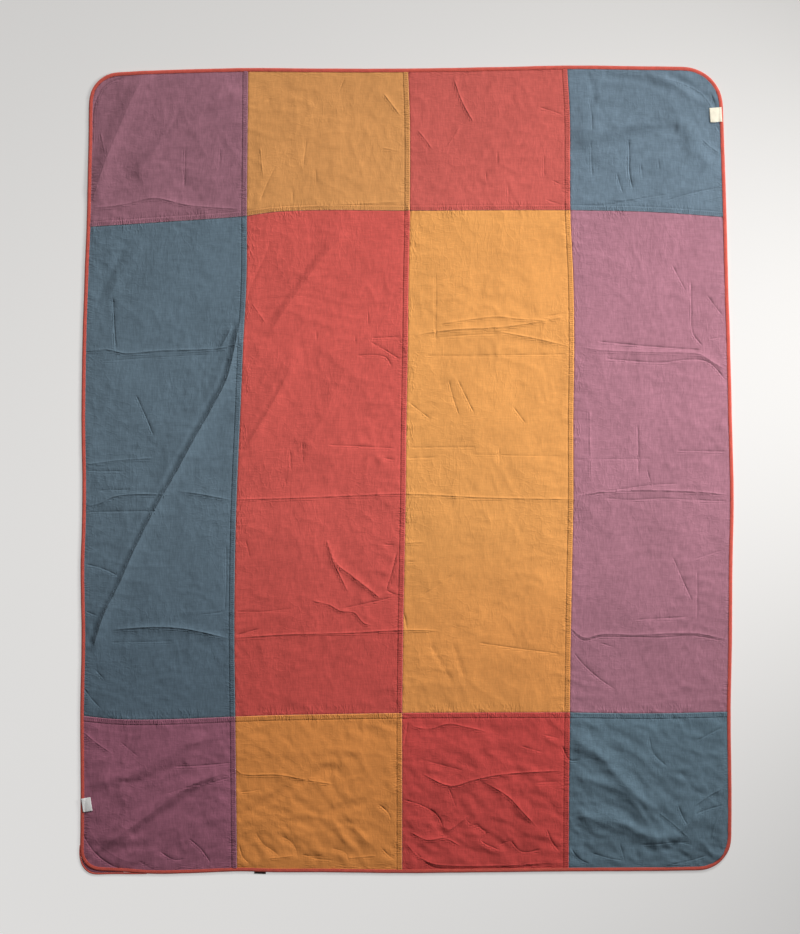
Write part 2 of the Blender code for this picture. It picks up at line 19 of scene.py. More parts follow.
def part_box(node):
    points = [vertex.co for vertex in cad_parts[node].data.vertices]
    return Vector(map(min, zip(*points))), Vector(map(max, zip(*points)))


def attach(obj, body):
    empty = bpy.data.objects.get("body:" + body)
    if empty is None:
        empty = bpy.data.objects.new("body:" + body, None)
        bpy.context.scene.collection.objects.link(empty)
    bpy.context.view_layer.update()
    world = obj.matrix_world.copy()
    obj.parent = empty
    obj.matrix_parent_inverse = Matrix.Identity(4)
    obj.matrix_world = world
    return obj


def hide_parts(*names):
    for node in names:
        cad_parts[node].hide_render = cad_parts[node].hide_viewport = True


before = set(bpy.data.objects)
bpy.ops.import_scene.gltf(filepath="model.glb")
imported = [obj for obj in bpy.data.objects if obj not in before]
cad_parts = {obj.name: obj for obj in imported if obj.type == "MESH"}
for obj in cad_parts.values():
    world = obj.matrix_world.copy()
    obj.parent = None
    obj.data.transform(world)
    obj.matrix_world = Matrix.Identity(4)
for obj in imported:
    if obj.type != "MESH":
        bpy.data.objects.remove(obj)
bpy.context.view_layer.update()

CM = 0.01
MM = 0.001

# Cloth and trims
CLOTH_THICKNESS = 2.4 * MM
PIECE_GAP = 0.3 * MM
BINDING_WIDTH = 8.4 * MM
TUCKED_IN = 1.2 * MM
RIM_INSET = BINDING_WIDTH - TUCKED_IN
LEAST_THICKNESS = 0.5 * MM
SEAM_ALLOWANCE = 13 * MM
JOINED_WITHIN = 1e-6
TINY = 1e-9
COLUMNS = 4
ROWS = 3
# Further than anything beside a seam reaches, in metres
FAR = 1.0

# How closely the sheets are divided: the lines beside each kind of side, then one pitch
GRID_PITCH = 4.0 * MM
GRID_LINES = {
    "rim": (0, 1.5, 4, 7),
    "plain": (0, 0.7, 2, 4, 6.5, 9.5),
    "band": (0, 0.7, 2, 3.8, 5.2, 7, 9.4, 10.8, 11.9, 13.2, 15.5),
}
# The step along the outer edge, the steps round each corner, and how often the edge is smoothed
EDGE_STEP = 6 * MM
ARC_STEPS = 16
EDGE_SMOOTHINGS = 3
# How often a corner's middle and a sheet's places are worked out again from the lines they meet
CORNER_ROUNDS = 12
GRID_ROUNDS = 8

# Where the side edges and the upright seams lie, from the foot to the head, in cm
Upright = namedtuple("Upright", "y left seam_1 seam_2 seam_3 right")
UPRIGHTS = (
    Upright(-93.5, -76.0, -39.5, -1.1, 37.6, 75.4),
    Upright(-74.4, -75.8, -39.7, -1.1, 37.7, 75.5),
    Upright(-57.0, -75.9, -39.9, -1.1, 37.9, 75.3),
    Upright(-39.5, -75.6, -40.1, -0.9, 38.1, 75.6),
    Upright(-23.3, -75.8, -40.0, -0.6, 38.4, 75.7),
    Upright(-7.0, -75.4, -39.6, -0.3, 38.7, 76.0),
    Upright(11.6, -75.6, -38.8, -0.1, 38.7, 75.6),
    Upright(27.9, -75.4, -38.1, 0.2, 38.9, 75.2),
    Upright(44.2, -74.9, -37.3, 0.4, 38.7, 74.7),
    Upright(60.4, -74.3, -37.2, 0.7, 38.0, 74.3),
    Upright(81.4, -73.9, -37.0, 0.7, 37.9, 73.6),
    Upright(93.0, -73.8, -36.9, 0.3, 37.3, 73.3),
)
# Where the foot and head edges and the level seams lie, from left to right, in cm
Level = namedtuple("Level", "x foot seam_1 seam_2 head")
LEVELS = (
    Level(-76.0, -93.0, -57.1, 56.4, 92.1),
    Level(-67.8, -93.3, -57.9, 56.9, 92.4),
    Level(-57.4, -93.9, -58.0, 57.6, 92.9),
    Level(-38.8, -93.3, -57.3, 58.9, 93.4),
    Level(-30.6, -93.5, -57.0, 60.0, 93.4),
    Level(-20.2, -93.5, -56.8, 60.4, 93.3),
    Level(-0.2, -93.7, -56.5, 60.3, 93.3),
    Level(19.4, -93.5, -56.4, 60.4, 93.6),
    Level(38.0, -93.3, -56.4, 60.4, 94.0),
    Level(56.6, -93.2, -56.6, 60.0, 93.8),
    Level(75.2, -93.0, -56.2, 58.7, 93.6),
)
CORNER_RADII = {"foot_left": 4.7, "foot_right": 7.7, "head_right": 9.3, "head_left": 7.0}

# The folds of the solids as the pressed cloth shows them: the rise at the crest and how far the
# fold spreads to either hand of someone who walks along its path, in mm; how round its crest is, as
# a share of that spread; the height of the fine line along the crest, in mm; and the path in cm
Fold = namedtuple("Fold", "rise left right crest line path")
FOLDS = [Fold(*row) for row in (
    (0.9, 14, 26, 0.06, 2.2, ((-74.5, 27.7), (-69.5, 28), (-65.3, 27.1), (-58.3, 27.7), (-43.4, 28.3),
     (-39, 29.5))),
    (1.2, 18, 26, 0.06, 2.2, ((1.5, 31), (3.3, 31.6), (11.6, 32.7), (21.9, 33.2), (32.6, 34.8), (38, 36))),
    (0.8, 16, 22, 0.06, 1.8, ((19, 32.6), (29.4, 30.7), (38.5, 28.6))),
    (2, 14, 30, 0.06, 1.3, ((40, 28.6), (44.9, 27.9), (55.9, 27.4), (67.9, 27), (71, 25.1), (75.2, 22.8))),
    (1.1, 16, 26, 0.06, 2.2, ((-75, -8.6), (-71.1, -7.7), (-68.5, -6.3), (-63.5, -5.6), (-54, -5.8))),
    (1.1, 14, 20, 0.06, 1.6, ((-54, -4.8), (-48.5, -5.5), (-39.6, -7.2))),
    (0.4, 14, 24, 0.06, 1.8, ((-41, -6.9), (-24.1, -6.4), (-12, -5.9), (-0.5, -5.5), (18.7, -6.4),
     (39.5, -6.8))),
    (1, 16, 26, 0.06, 2, ((38, -6.4), (43.1, -5.4), (52.4, -4.7), (66.6, -5), (76, -5.9))),
    (3, 18, 34, 0.06, 2.8, ((-69, -37.2), (-62, -36.6), (-55.7, -36.5), (-49.7, -37.2), (-41, -39.2))),
    (0.6, 14, 24, 0.06, 2, ((-40.5, -39), (-27.4, -38.2), (-14.9, -37.9), (-0.5, -37.2), (8, -37.4))),
    (1.5, 14, 24, 0.06, 1.4, ((37, -35.8), (41.2, -39), (45.2, -38.1), (53.1, -38.3), (66.6, -37.9),
     (75.2, -39.6))),
    (1.4, 16, 22, 0.06, 1.6, ((-74, 60.8), (-66.4, 61.6), (-58.5, 63.2), (-51.1, 61.6), (-38, 60.6))),
    (7, 40, 64, 0.04, 2.2, ((-38.5, 36), (-41.5, 22), (-45.2, 14.4), (-49.3, 7.2), (-54.4, -2.1),
     (-58.6, -9.3), (-63.6, -19.3), (-67.1, -27.2), (-70.2, -33.3), (-73.4, -42.8))),
    (2.5, 32, 34, 0.2, 0.3, ((-61, 53), (-66, 46), (-69.5, 39.5))),
    (3.6, 40, 54, 0.12, 0.4, ((-13, 56), (-18, 51), (-23.4, 44.2), (-28.7, 36.6), (-32.8, 30.5))),
    (3.6, 40, 54, 0.12, 0.4, ((-25, 30), (-28.6, 20.4), (-32.8, 12.9), (-38, 4))),
    (1.8, 34, 50, 0.2, 0.1, ((-5.5, 29), (-11, 27.6), (-15.5, 21), (-19.5, 12.5), (-24.5, 3))),
    (1.6, 20, 20, 0.08, 1.4, ((-18.5, -15.8), (-16.5, -21.5), (-12.6, -24.6), (-5.8, -29.8))),
    (8, 56, 80, 0.07, 0.6, ((-58, 93), (-62, 89.5), (-66.3, 80.5), (-70.2, 71), (-73.5, 61))),
    (6.5, 50, 60, 0.12, 0, ((-37.5, 89), (-46, 84.8), (-53, 79.5), (-59, 73.5), (-64, 67))),
    (4.2, 50, 50, 0.15, 0, ((-74, -72.5), (-65, -71), (-56, -66.6), (-46, -61))),
    (8, 50, 46, 0.08, 0.5, ((-72, -88), (-67.8, -85.6), (-58, -78.6), (-50.5, -73.4), (-41, -70))),
    (0.8, 26, 14, 0.2, 0.3, ((-75.3, -80), (-72.2, -86.1), (-69.2, -88.8), (-65.3, -90.8), (-59, -91.7))),
    (0.8, 16, 22, 0.06, 1.4, ((-40.5, -68.5), (-38.5, -70.6), (-29.9, -70.8), (-23.4, -72), (-16, -73.2))),
    (1.3, 22, 24, 0.06, 2.3, ((3, -70.2), (8, -72.8), (10.9, -73.4), (15.2, -72.1), (22.3, -70.7),
     (37, -69.8))),
    (1.4, 30, 34, 0.08, 1.6, ((17, -72), (23.3, -75.6), (26.6, -79), (31, -83.8))),
    (1.2, 20, 18, 0.06, 1.6, ((-0.8, -86), (3.2, -90.2), (8, -91.8), (25.9, -91.8), (33, -91.2))),
    (7.6, 50, 52, 0.12, 0.1, ((37.6, -61.6), (44.9, -66.4), (49.6, -71.8), (54.4, -76.6), (60, -80))),
    (5.4, 40, 44, 0.12, 0.1, ((37.6, -69.6), (44.9, -72.9), (50.7, -75), (54.4, -79), (57, -84))),
    (7, 40, 60, 0.12, 0.2, ((37.6, -79.6), (44.9, -81.2), (51, -82.4), (55.4, -84.8), (61, -85.2),
     (65.4, -82.4), (69, -77.5))),
    (1.4, 14, 30, 0.08, 1.4, ((58.5, 91.2), (64.6, 89.6), (69.4, 86.6), (72.2, 81.6))),
    (5.2, 60, 60, 0.15, 0, ((37.6, 77.6), (47.3, 79.4), (54.7, 80.8), (62, 84.4), (68, 89))),
    (3.6, 50, 45, 0.15, 0, ((61.5, 84), (66, 78.6), (68.6, 73), (74, 68.4))),
)]
# How finely a fold's line is divided, and how its ends and the blanket's edge lower it
FOLD_PITCH = 16 * MM
FOLD_END_EASE = 42 * MM
EDGE_EASE = 50 * MM
EDGE_SHARE = 0.3
# How sharply crossing folds part, and how steeply a fold comes down from its crest
BLEND_POWER = 3
FOLD_POWER = 3

# The small creases, panel by panel: how far each rises, or sinks where it is negative, and half
# its width, in mm, and the path of its lit or shaded side in cm
Crease = namedtuple("Crease", "rise width path")
CREASES = [Crease(*row) for row in (
    # head_1
    (-0.7, 6, ((-51.3, 75.1), (-51.6, 65.1))),
    (-0.7, 6, ((-43.2, 75.1), (-43.4, 69.7))),
    (-1.3, 7, ((-72.9, 75.6), (-72.6, 83.9), (-71.1, 88.1), (-69, 90), (-65.3, 91.4))),
    (0.8, 7, ((-71.1, 79), (-69.9, 73.7))),
    # head_2
    (-0.9, 12, ((-30.9, 87.4), (-33.4, 83.7), (-36.2, 80))),
    (-0.9, 6, ((-14.2, 91.4), (-15.8, 87.4))),
    (0.8, 7, ((-33.9, 75.3), (-33.2, 67.9))),
    (-0.8, 6, ((-23.2, 77.2), (-23.9, 70.4))),
    (-1, 10, ((-30.2, 70.9), (-32.3, 66.5), (-33.9, 62.5))),
    (-0.7, 5, ((-26.3, 65.3), (-26.4, 61.8))),
    (-0.7, 5, ((-21.1, 70.4), (-20.9, 66))),
    (1.3, 9, ((-5.3, 87.9), (-3.2, 85.1), (-1.1, 82.3))),
    (0.6, 6, ((-6, 75.1), (-1.3, 74.2))),
    (0.7, 7, ((-27.4, 61.1), (-15.5, 61.8), (-1.3, 62.5))),
    # head_3
    (1.4, 9, ((11.2, 91.1), (13.1, 85.8), (15.9, 80.7))),
    (1, 7, ((2.6, 79.3), (4.7, 76.7), (6.3, 74.4))),
    (0.9, 7, ((12.6, 80), (11, 77.4), (9.4, 75.1))),
    (-0.8, 5, ((18.4, 70), (18.7, 66.7))),
    (-0.8, 5, ((21.2, 74.6), (21.2, 70.2))),
    (-0.8, 6, ((32, 73.9), (32.1, 67.6))),
    (-0.8, 5, ((23.7, 66.7), (23.8, 61.4))),
    (-1, 6, ((33.5, 67.6), (36.3, 66.3))),
    (-1, 6, ((32.1, 63), (36.6, 61.6))),
    (-1, 7, ((30.5, 84.6), (33.5, 83.7), (36.6, 82.5))),
    # head_4
    (-2.6, 15, ((60.2, 92.4), (64.5, 90.4), (67.7, 88.3), (70.5, 86.3), (72.1, 83.8))),
    (-2, 15, ((45.2, 91.6), (51.4, 91.2), (57, 90.1), (61.6, 88.2))),
    (-1.4, 6, ((70.7, 87.9), (71.4, 86), (72.1, 83.7))),
    (-1.2, 6, ((71.9, 80.4), (73.1, 78.3))),
    (-0.9, 7, ((42.4, 86.9), (43.1, 82.8), (43.3, 78.3))),
    (-0.8, 6, ((42.8, 77.2), (43.3, 67.9))),
    (-1.6, 8, ((51.7, 77.4), (51.9, 73.2), (51.9, 69.3), (52.8, 65.1))),
    (-0.9, 6, ((54.5, 71.8), (54.9, 67.6))),
    (-1, 7, ((48.8, 69.5), (49.6, 66.9), (50.5, 64.2))),
    (-0.8, 6, ((58.6, 72.5), (58.9, 69.3))),
    (-2.6, 24, ((37.8, 73.8), (44.5, 75.4), (51, 77.2), (57.3, 78.6), (64, 80.2))),
    (1, 12, ((64.7, 80), (65.9, 76.2), (66.6, 72.3))),
    (0.8, 8, ((48.1, 62.8), (52.4, 63), (56.6, 63.9))),
    (0.7, 6, ((68.4, 62.5), (73.3, 63.7))),
    (1, 8, ((68.6, 77.2), (70.7, 75.3), (73.1, 73.7))),
    (-1.6, 13, ((41.6, 93), (43.8, 88.6), (43.2, 84.6))),
    (1.6, 12, ((55.4, 92.6), (60, 91), (64, 88.6), (68.4, 85.8))),
    (-0.9, 9, ((40, 61.6), (48, 62), (54, 63.2), (61, 64.2))),
    (-1.2, 7, ((60, 62.6), (66, 64.4), (72.8, 65.8))),
    # long_1
    (-0.5, 7, ((-71.3, 25.3), (-65.3, 25.8), (-57.4, 26.3), (-44.6, 27))),
    (0.9, 6, ((-75, 27.7), (-69.5, 28.1))),
    (-2.2, 13, ((-39.5, 35), (-42.4, 22.2), (-46.1, 14.8), (-50.2, 7.7), (-55.2, -1.7), (-59.4, -8.9),
     (-64.4, -18.9), (-67.9, -26.8), (-70.9, -33), (-73.6, -41))),
    (-1.2, 7, ((-68.1, 40.4), (-67.8, 33.7), (-67.4, 27.9))),
    (-1.4, 16, ((-64.6, 53.5), (-68.5, 46), (-72.5, 37.9))),
    (1.6, 9, ((-40.4, 33.5), (-41.6, 31.1), (-43, 28.6))),
    (-1, 8, ((-62.9, 17.9), (-60.6, 12.8), (-58.5, 7.7))),
    (0.9, 7, ((-74.6, 1.4), (-66.7, 2.4), (-58.5, 2.9))),
    (-0.8, 6, ((-74.6, -0.1), (-65.7, -0.2))),
    (-0.9, 6, ((-71.8, -4.7), (-63.6, -4.4))),
    (-0.9, 7, ((-74.6, -9.7), (-66.7, -9.5), (-57.8, -9.4))),
    (-0.9, 8, ((-74.9, -21.6), (-70.4, -22.8), (-66.4, -24.7))),
    (-0.9, 7, ((-74.9, -32.6), (-71.1, -34))),
    (-0.8, 6, ((-48.5, -33.6), (-41.6, -32.8))),
    (-0.6, 6, ((-68.9, -40), (-53.9, -39.7))),
    (-0.9, 8, ((-72.5, -46), (-69.9, -48.8))),
    (-1, 9, ((-75.3, -49.9), (-73.2, -52.8), (-70.6, -55.6))),
    (-0.6, 5, ((-41.9, -16.9), (-41.8, -24), (-42.2, -33))),
    # long_2
    (-1.1, 13, ((-18.5, 53.5), (-23.9, 46.3), (-29.2, 38.6), (-32.4, 33.9))),
    (-0.9, 11, ((-31.3, 53.5), (-33.2, 48.8), (-36, 42.8), (-36.9, 38.8))),
    (-1.1, 13, ((-25.6, 27.2), (-29.2, 20.4), (-33.4, 12.9), (-37.7, 5.8))),
    (0.7, 9, ((-36, 39.3), (-32.3, 33.9))),
    (-0.7, 5, ((-20.9, 32.8), (-20.8, 29.7))),
    (-0.7, 5, ((-11.9, 31.6), (-11.8, 29.1))),
    (-0.8, 5, ((-8.9, 37), (-8.8, 33))),
    (-0.8, 6, ((-26.9, 5.1), (-26.8, -0.5))),
    (-0.8, 6, ((-24.1, 7.2), (-24, 1.4))),
    (-0.6, 5, ((-28.1, -1.4), (-28, -4))),
    (-1.1, 6, ((-8.5, 30.7), (-1.4, 31.1))),
    (-1.1, 6, ((-8.5, 30), (-4.8, 27.9), (-1.4, 25.8))),
    (-1, 6, ((-12, 26.7), (-5.1, 26.5), (-3.2, 23.9))),
    (-0.8, 6, ((-18.5, 6), (-2, 5.1))),
    (-0.8, 6, ((-5.8, 3), (-2, 2.3))),
    (1.1, 8, ((-18.5, -15.8), (-17.1, -20.5), (-15.3, -24.4), (-13.4, -28.3))),
    (1.2, 8, ((-13.2, -24), (-9.7, -26.7), (-5.8, -29.8))),
    (-1.3, 8, ((-4.8, -28.4), (-3.2, -23.3), (-2, -18.6))),
    (-1, 6, ((-5.1, -27.6), (-1.8, -29.3))),
    (-1, 7, ((-14.9, -32.1), (-8.5, -30.7), (-2.5, -29.3))),
    (1, 7, ((-22, -30.2), (-17.8, -31.2), (-15.3, -32.6), (-12, -33), (-9.9, -35.4), (-7.8, -36))),
    (-0.6, 6, ((-39.9, -32.8), (-33.4, -32.8), (-26.3, -32.1))),
    (-1.2, 7, ((-39.9, -38.4), (-33.9, -36.7))),
    (-0.9, 6, ((-5.8, -17.2), (-2, -17.4))),
    (-0.7, 6, ((-37.4, -15.8), (-36.2, -20.7))),
    # long_3
    (-0.7, 6, ((5.4, 30.7), (13.5, 31.4), (21.7, 31.8))),
    (1, 7, ((8, 34.1), (14.7, 35.1), (21.2, 35.8), (25.9, 35.3), (33.1, 34.8))),
    (-1, 6, ((32.6, 35.8), (37.5, 36.7))),
    (-0.9, 7, ((4, 26.7), (15.9, 26.7), (37.5, 27))),
    (-0.6, 6, ((6.9, 46.3), (6.8, 29.3))),
    (-0.9, 8, ((11.9, 21.4), (13.8, 17.4), (15.9, 13.2))),
    (-0.8, 7, ((9.8, 21.4), (11, 16.7), (12.4, 12.5))),
    (-0.9, 8, ((24.7, 15.1), (28, 10.7))),
    (-0.9, 8, ((0.5, 16), (5.9, 11.8))),
    (-0.7, 7, ((-0.2, 2.8), (7.3, 3.1))),
    (-0.7, 6, ((0.5, 5.3), (16.6, 5.4))),
    (-0.5, 6, ((15.2, 3.7), (37.3, 3.2))),
    (-0.7, 5, ((21.6, 5.6), (21.7, 0.7))),
    (1, 7, ((-0.6, -16.9), (4.5, -16.5))),
    (-0.9, 6, ((-0.2, -21.2), (2.4, -21.2))),
    (-1.1, 8, ((-0.5, -32.8), (0.3, -37.2))),
    (-0.8, 10, ((11.6, -23.7), (7.7, -26.5), (3.3, -29.3))),
    (-1.2, 12, ((5.4, -40), (8.2, -44.4), (10.8, -49.1))),
    (-1.1, 12, ((10.9, -39.7), (12.4, -44.2), (13.8, -48.8))),
    (-0.8, 7, ((16.6, -40), (26.3, -41.4), (35.9, -42.6))),
    # long_4
    (-1, 7, ((66.2, 44.2), (66.3, 38.1), (66.6, 32.1), (69.1, 28.6))),
    (-1.4, 6, ((44.5, 30), (55.9, 28.9), (68.4, 28))),
    (-1.2, 6, ((46.1, 26), (58.6, 25.1), (66.6, 25.8), (70.5, 25), (74.5, 20.7))),
    (-0.9, 7, ((61.7, 48.1), (63.5, 44.6), (65.2, 41.4))),
    (-0.9, 7, ((69.8, 40.9), (71.9, 38.1), (73.8, 35.7))),
    (-0.9, 6, ((70, 30.4), (73.8, 31.1))),
    (-1, 7, ((53.8, 10.9), (54, 4.6), (54, -1.4))),
    (-0.9, 6, ((55.9, 0.5), (57, -3.5))),
    (0.6, 7, ((42.7, 14.4), (42.8, 5.8), (43.1, -2.3))),
    (-0.9, 6, ((62.6, 4.6), (74.7, 4.4))),
    (-0.6, 6, ((38.9, 2.5), (57.3, 2.8))),
    (-1, 6, ((42.6, -5.8), (47, -4.8), (52.4, -4), (56.6, -3.4), (63.8, -3))),
    (-0.9, 7, ((45.9, -6.4), (52.4, -6.8), (59.3, -6.5), (66.6, -6.8), (74.9, -7.2))),
    (-0.8, 8, ((66.6, -20.7), (73.8, -18.4))),
    (-0.8, 6, ((67.6, -23), (67.7, -29.1), (67.6, -34.9))),
    (-0.9, 8, ((61.9, -19.8), (64.2, -25.1), (66.6, -30.5))),
    (-0.9, 7, ((53.1, -34.7), (65.9, -34))),
    (-0.9, 7, ((38, -36.7), (41.2, -39.5), (45.2, -38.6), (53.1, -38.7), (59.3, -38.8), (66.6, -38.4),
     (74.7, -39.8))),
    (-0.8, 7, ((44.9, -40), (48.8, -41.2))),
    (-1, 9, ((38.9, -42.1), (40.7, -44.4), (42.8, -46.5), (45.6, -48.8), (48.8, -50.9))),
    # foot_1
    (0.9, 9, ((-74.9, -60.7), (-71.8, -63.3), (-68.5, -65.6))),
    (-1, 7, ((-54.3, -68.8), (-48.1, -68.6), (-40.4, -67.9))),
    (0.6, 8, ((-53.2, -74.4), (-48.1, -73.2), (-43, -71.6))),
    (1, 12, ((-68.5, -82.8), (-59.7, -78.1), (-51.6, -73.7))),
    (-1.5, 10, ((-75.5, -83.6), (-73.2, -87.6), (-70.4, -90.4), (-66.9, -92.3), (-62.7, -92.5))),
    (-1.2, 7, ((-62.3, -90.7), (-59.5, -92.3))),
    (-0.6, 8, ((-66.7, -62.8), (-62, -66.7))),
    (-0.9, 9, ((-56, -75.2), (-51, -73.6), (-46, -72.6), (-40.4, -71.2))),
    (-2.2, 18, ((-64, -85.2), (-59, -81.8), (-54.8, -78.6), (-50, -75), (-42, -70))),
    (-1.6, 16, ((-66, -72.6), (-60, -71.4), (-55.4, -69.4), (-51, -67.6))),
    (-1.2, 9, ((-57.4, -88.4), (-54, -90.4), (-51, -90.2))),
    (-1.2, 8, ((-50.6, -85.4), (-47.6, -88), (-45.4, -91.2))),
    # foot_2
    (-1.6, 11, ((-35, -84), (-33, -86.8), (-31.1, -88.1), (-29.4, -89.4))),
    (-1.5, 11, ((-29.2, -84.8), (-26.9, -86), (-25.5, -87.9), (-25, -90.4))),
    (1.9, 14, ((-17.6, -80.6), (-14.8, -84.2), (-13, -87), (-10.8, -87.8))),
    (1.8, 12, ((-12.6, -82.2), (-9.7, -85.3), (-7.4, -87.4))),
    (-1.4, 11, ((-17.6, -87.6), (-13.9, -88.8), (-13.2, -91))),
    (-1.2, 10, ((-24.4, -89.2), (-21.6, -89.6), (-18.8, -89.3))),
    (0.7, 15, ((-29, -65.6), (-20, -65), (-10, -65.2))),
    (0.6, 13, ((-24, -68.4), (-18, -67.8), (-12, -67.6))),
    (-2.2, 18, ((-39.2, -81.2), (-33.9, -77.7), (-26, -73.5), (-21.3, -70.7), (-16, -68.6))),
    (0.8, 7, ((-32.3, -90.2), (-25.7, -89.5))),
    (-0.8, 6, ((-22.5, -90), (-16.7, -90.7))),
    (0.7, 6, ((-14.4, -90.2), (-6.7, -89.5))),
    (-0.8, 6, ((-39.2, -74.9), (-33.7, -74.2))),
    (-1.4, 10, ((-5.8, -87.4), (-4.2, -89.2), (-2.2, -90.6))),
    (-1, 9, ((-38.8, -86.6), (-38, -89.6), (-36.2, -91.4))),
    (-1.8, 18, ((-19, -79.8), (-14, -78), (-9, -76.6), (-3.6, -72.6))),
    (1, 13, ((-30, -80.6), (-25, -80), (-20, -80.6))),
    (-1.4, 8, ((-6.6, -77.4), (-4.2, -79.4), (-3.4, -81.4))),
    # foot_3
    (-1.2, 7, ((-0.9, -76.4), (3.8, -77.9), (7.3, -80.2), (8.7, -83.2))),
    (-0.8, 7, ((1.7, -88.4), (5.5, -91.8), (8, -92.5), (17, -92.5), (25.9, -92.3), (31.4, -91.6))),
    (-1, 6, ((13.8, -80.9), (15.2, -82.3), (16.6, -82.3), (18, -83.7), (19.6, -83.7))),
    (-0.9, 10, ((4.5, -67.3), (9.1, -68.6), (13.8, -69.8))),
    (-1.2, 7, ((36.1, -63.7), (38, -67.3), (40.5, -67.3))),
    (-0.9, 6, ((31.4, -61.3), (35.9, -62.3))),
    (-0.9, 6, ((29.8, -72.6), (35.2, -72.3))),
    (-1, 7, ((9.8, -73.5), (10.8, -76), (11.7, -78.6))),
    (-0.9, 7, ((0.5, -58.1), (-0.5, -64.4))),
    (0.9, 8, ((1.7, -59.5), (5.5, -60), (9.8, -58.8), (13.8, -59.5), (18.9, -60.7))),
    (-0.8, 7, ((26.3, -63.9), (32.1, -65.6))),
    (-0.8, 6, ((21.2, -87.2), (25.2, -85.6))),
    (-1.6, 14, ((28, -74.2), (33.3, -76.8), (35.8, -80.7))),
    (-1.3, 8, ((32.6, -83), (34, -86.4), (35.8, -88.6))),
    (1.2, 7, ((9.6, -84), (12, -82.2), (14.9, -80))),
    (-1.6, 13, ((5.6, -79), (7.4, -82.2), (9.8, -85.2))),
    (-1.2, 8, ((15.2, -82), (18.7, -84.2), (17.5, -86), (22.2, -88.4))),
    (1.2, 8, ((1, -84), (5, -85.8), (9, -85.4), (13, -87.4))),
    (-1.3, 9, ((24, -85.6), (27, -88.6), (31.5, -88))),
    # foot_4
    (-1.6, 18, ((45.2, -76.5), (51, -79.6), (54.5, -84))),
    (-1.8, 14, ((52.5, -86.2), (57, -88), (62, -87.4), (66, -85))),
    (-1.6, 12, ((63.5, -69.5), (66.6, -73.4), (70, -75.6))),
    (1.4, 9, ((67, -78), (70, -75.8), (73.6, -73.8))),
    (-1.4, 10, ((56.5, -61.5), (57.6, -65.6), (61, -69))),
    (0.8, 6, ((58.4, -79.2), (62.4, -82.4), (66.4, -86))),
    (-1.3, 12, ((42.4, -59.6), (43.6, -63), (42.6, -65.8))),
    (-1.2, 9, ((38.2, -87.4), (40, -90), (43, -91.6))),
    (1.2, 8, ((71, -86), (71.8, -82), (73.4, -79))),
    (-1, 9, ((54.1, -87), (58.9, -86.7), (63.1, -86.3), (66.8, -87))),
    (-0.9, 6, ((42.7, -88.8), (46.8, -90), (51, -90.8))),
    (-0.9, 7, ((49.6, -86.3), (51, -91.4))),
    (-1.2, 8, ((63.1, -77.4), (64.2, -80.2), (65.9, -83.2))),
    (-1.1, 8, ((67, -79.8), (70.5, -78.6), (74, -77.7))),
    (-1, 8, ((67.3, -63), (70.5, -61.2), (73.8, -59.5))),
    (-0.9, 8, ((61.2, -91.6), (65.9, -90.7), (70.3, -89.3))),
    (-0.7, 7, ((57, -65.6), (60.7, -69.3))),
)]
# How finely a crease's line is divided, and how far in its ends ease, or at most this share of it
CREASE_PITCH = 9 * MM
CREASE_END_EASE = 14 * MM
CREASE_END_SHARE = 0.45
# What the tabled rises are multiplied by, and the share of it that the mesh gives a narrow crease
CREASE_GAIN = 1.2
NARROW_SHARE = 0.5
# Half the width up to which a crease is narrow, and from which it is soft, in mm
SHARP_UP_TO, SOFT_FROM = 8.0, 13.0
# A narrow crease's own sharp line, which is finer than the grid and so is left to the finish: its
# height as a share of the crease's, half its width, and how far from it the line fades, in mm
SHARP_SHARE = 1.15
SHARP_WIDTH = 5.2
SHARP_FROM, SHARP_GONE = 4.0, 6.5
# How even and uneven such a line's height is along its run
LINE_EVEN, LINE_UNEVEN = 0.75, 0.9
LINE_PITCH = 22 * MM
LINE_SEED = 7
# The finest wrinkles, and the sharpest gathers beside the seams, are left to the finish too: their
# height in mm and the least share of it, how many patches they make to the metre, and where a
# patch begins and is full and how wide a line is, as shares of the noise that they follow
FineLines = namedtuple("FineLines", "rise least patches patch_from patch_full wide")
WRINKLE_LINES = FineLines(0.2, 0.0, 5, 0.42, 0.62, 0.06)
GATHER_LINES = FineLines(0.6, 0.15, 14, 0.46, 0.62, 0.11)
# Which way they run: noise cells to the metre across and up, and a seed
WRINKLE_RUNS = (((26, 58), 8.3), ((62, 24), 6.1))
UPRIGHT_GATHERS, LEVEL_GATHERS = ((38, 125), 4.4), ((115, 42), 9.2)
# How far from a seam the gathers begin, and from where on they are full
PUCKERED = (32 * MM, 4 * MM)
# A crease's crest lies this share of its width behind its lit side, away from the photograph's light
CREST_BEHIND = 0.3
TO_THE_LIGHT = (0.8, 0.6)

# The cloth's own unevenness: how large each kind of swell or wrinkle is across and up, in mm
Swell = namedtuple("Swell", "across up rise seed")
SWELLS = (
    Swell(95, 85, 1.6, 11),
    Swell(48, 52, 0.9, 12),
    Swell(24, 28, 0.5, 13),
    Swell(12, 14, 0.22, 14),
)
Wrinkle = namedtuple("Wrinkle", "across up rise share seed")
WRINKLES = (
    Wrinkle(80, 50, 0.8, 0.16, 21),
    Wrinkle(44, 85, 0.7, 0.16, 22),
    Wrinkle(130, 36, 0.7, 0.20, 23),
)
# The size of the wrinkles' patches, how much cloth they take, and how far the wrinkles bend
WRINKLE_PATCH = 150 * MM
PATCH_LEVEL, PATCH_GAIN = 0.45, 1.4
WARP, WARP_SEED = 0.8, 31

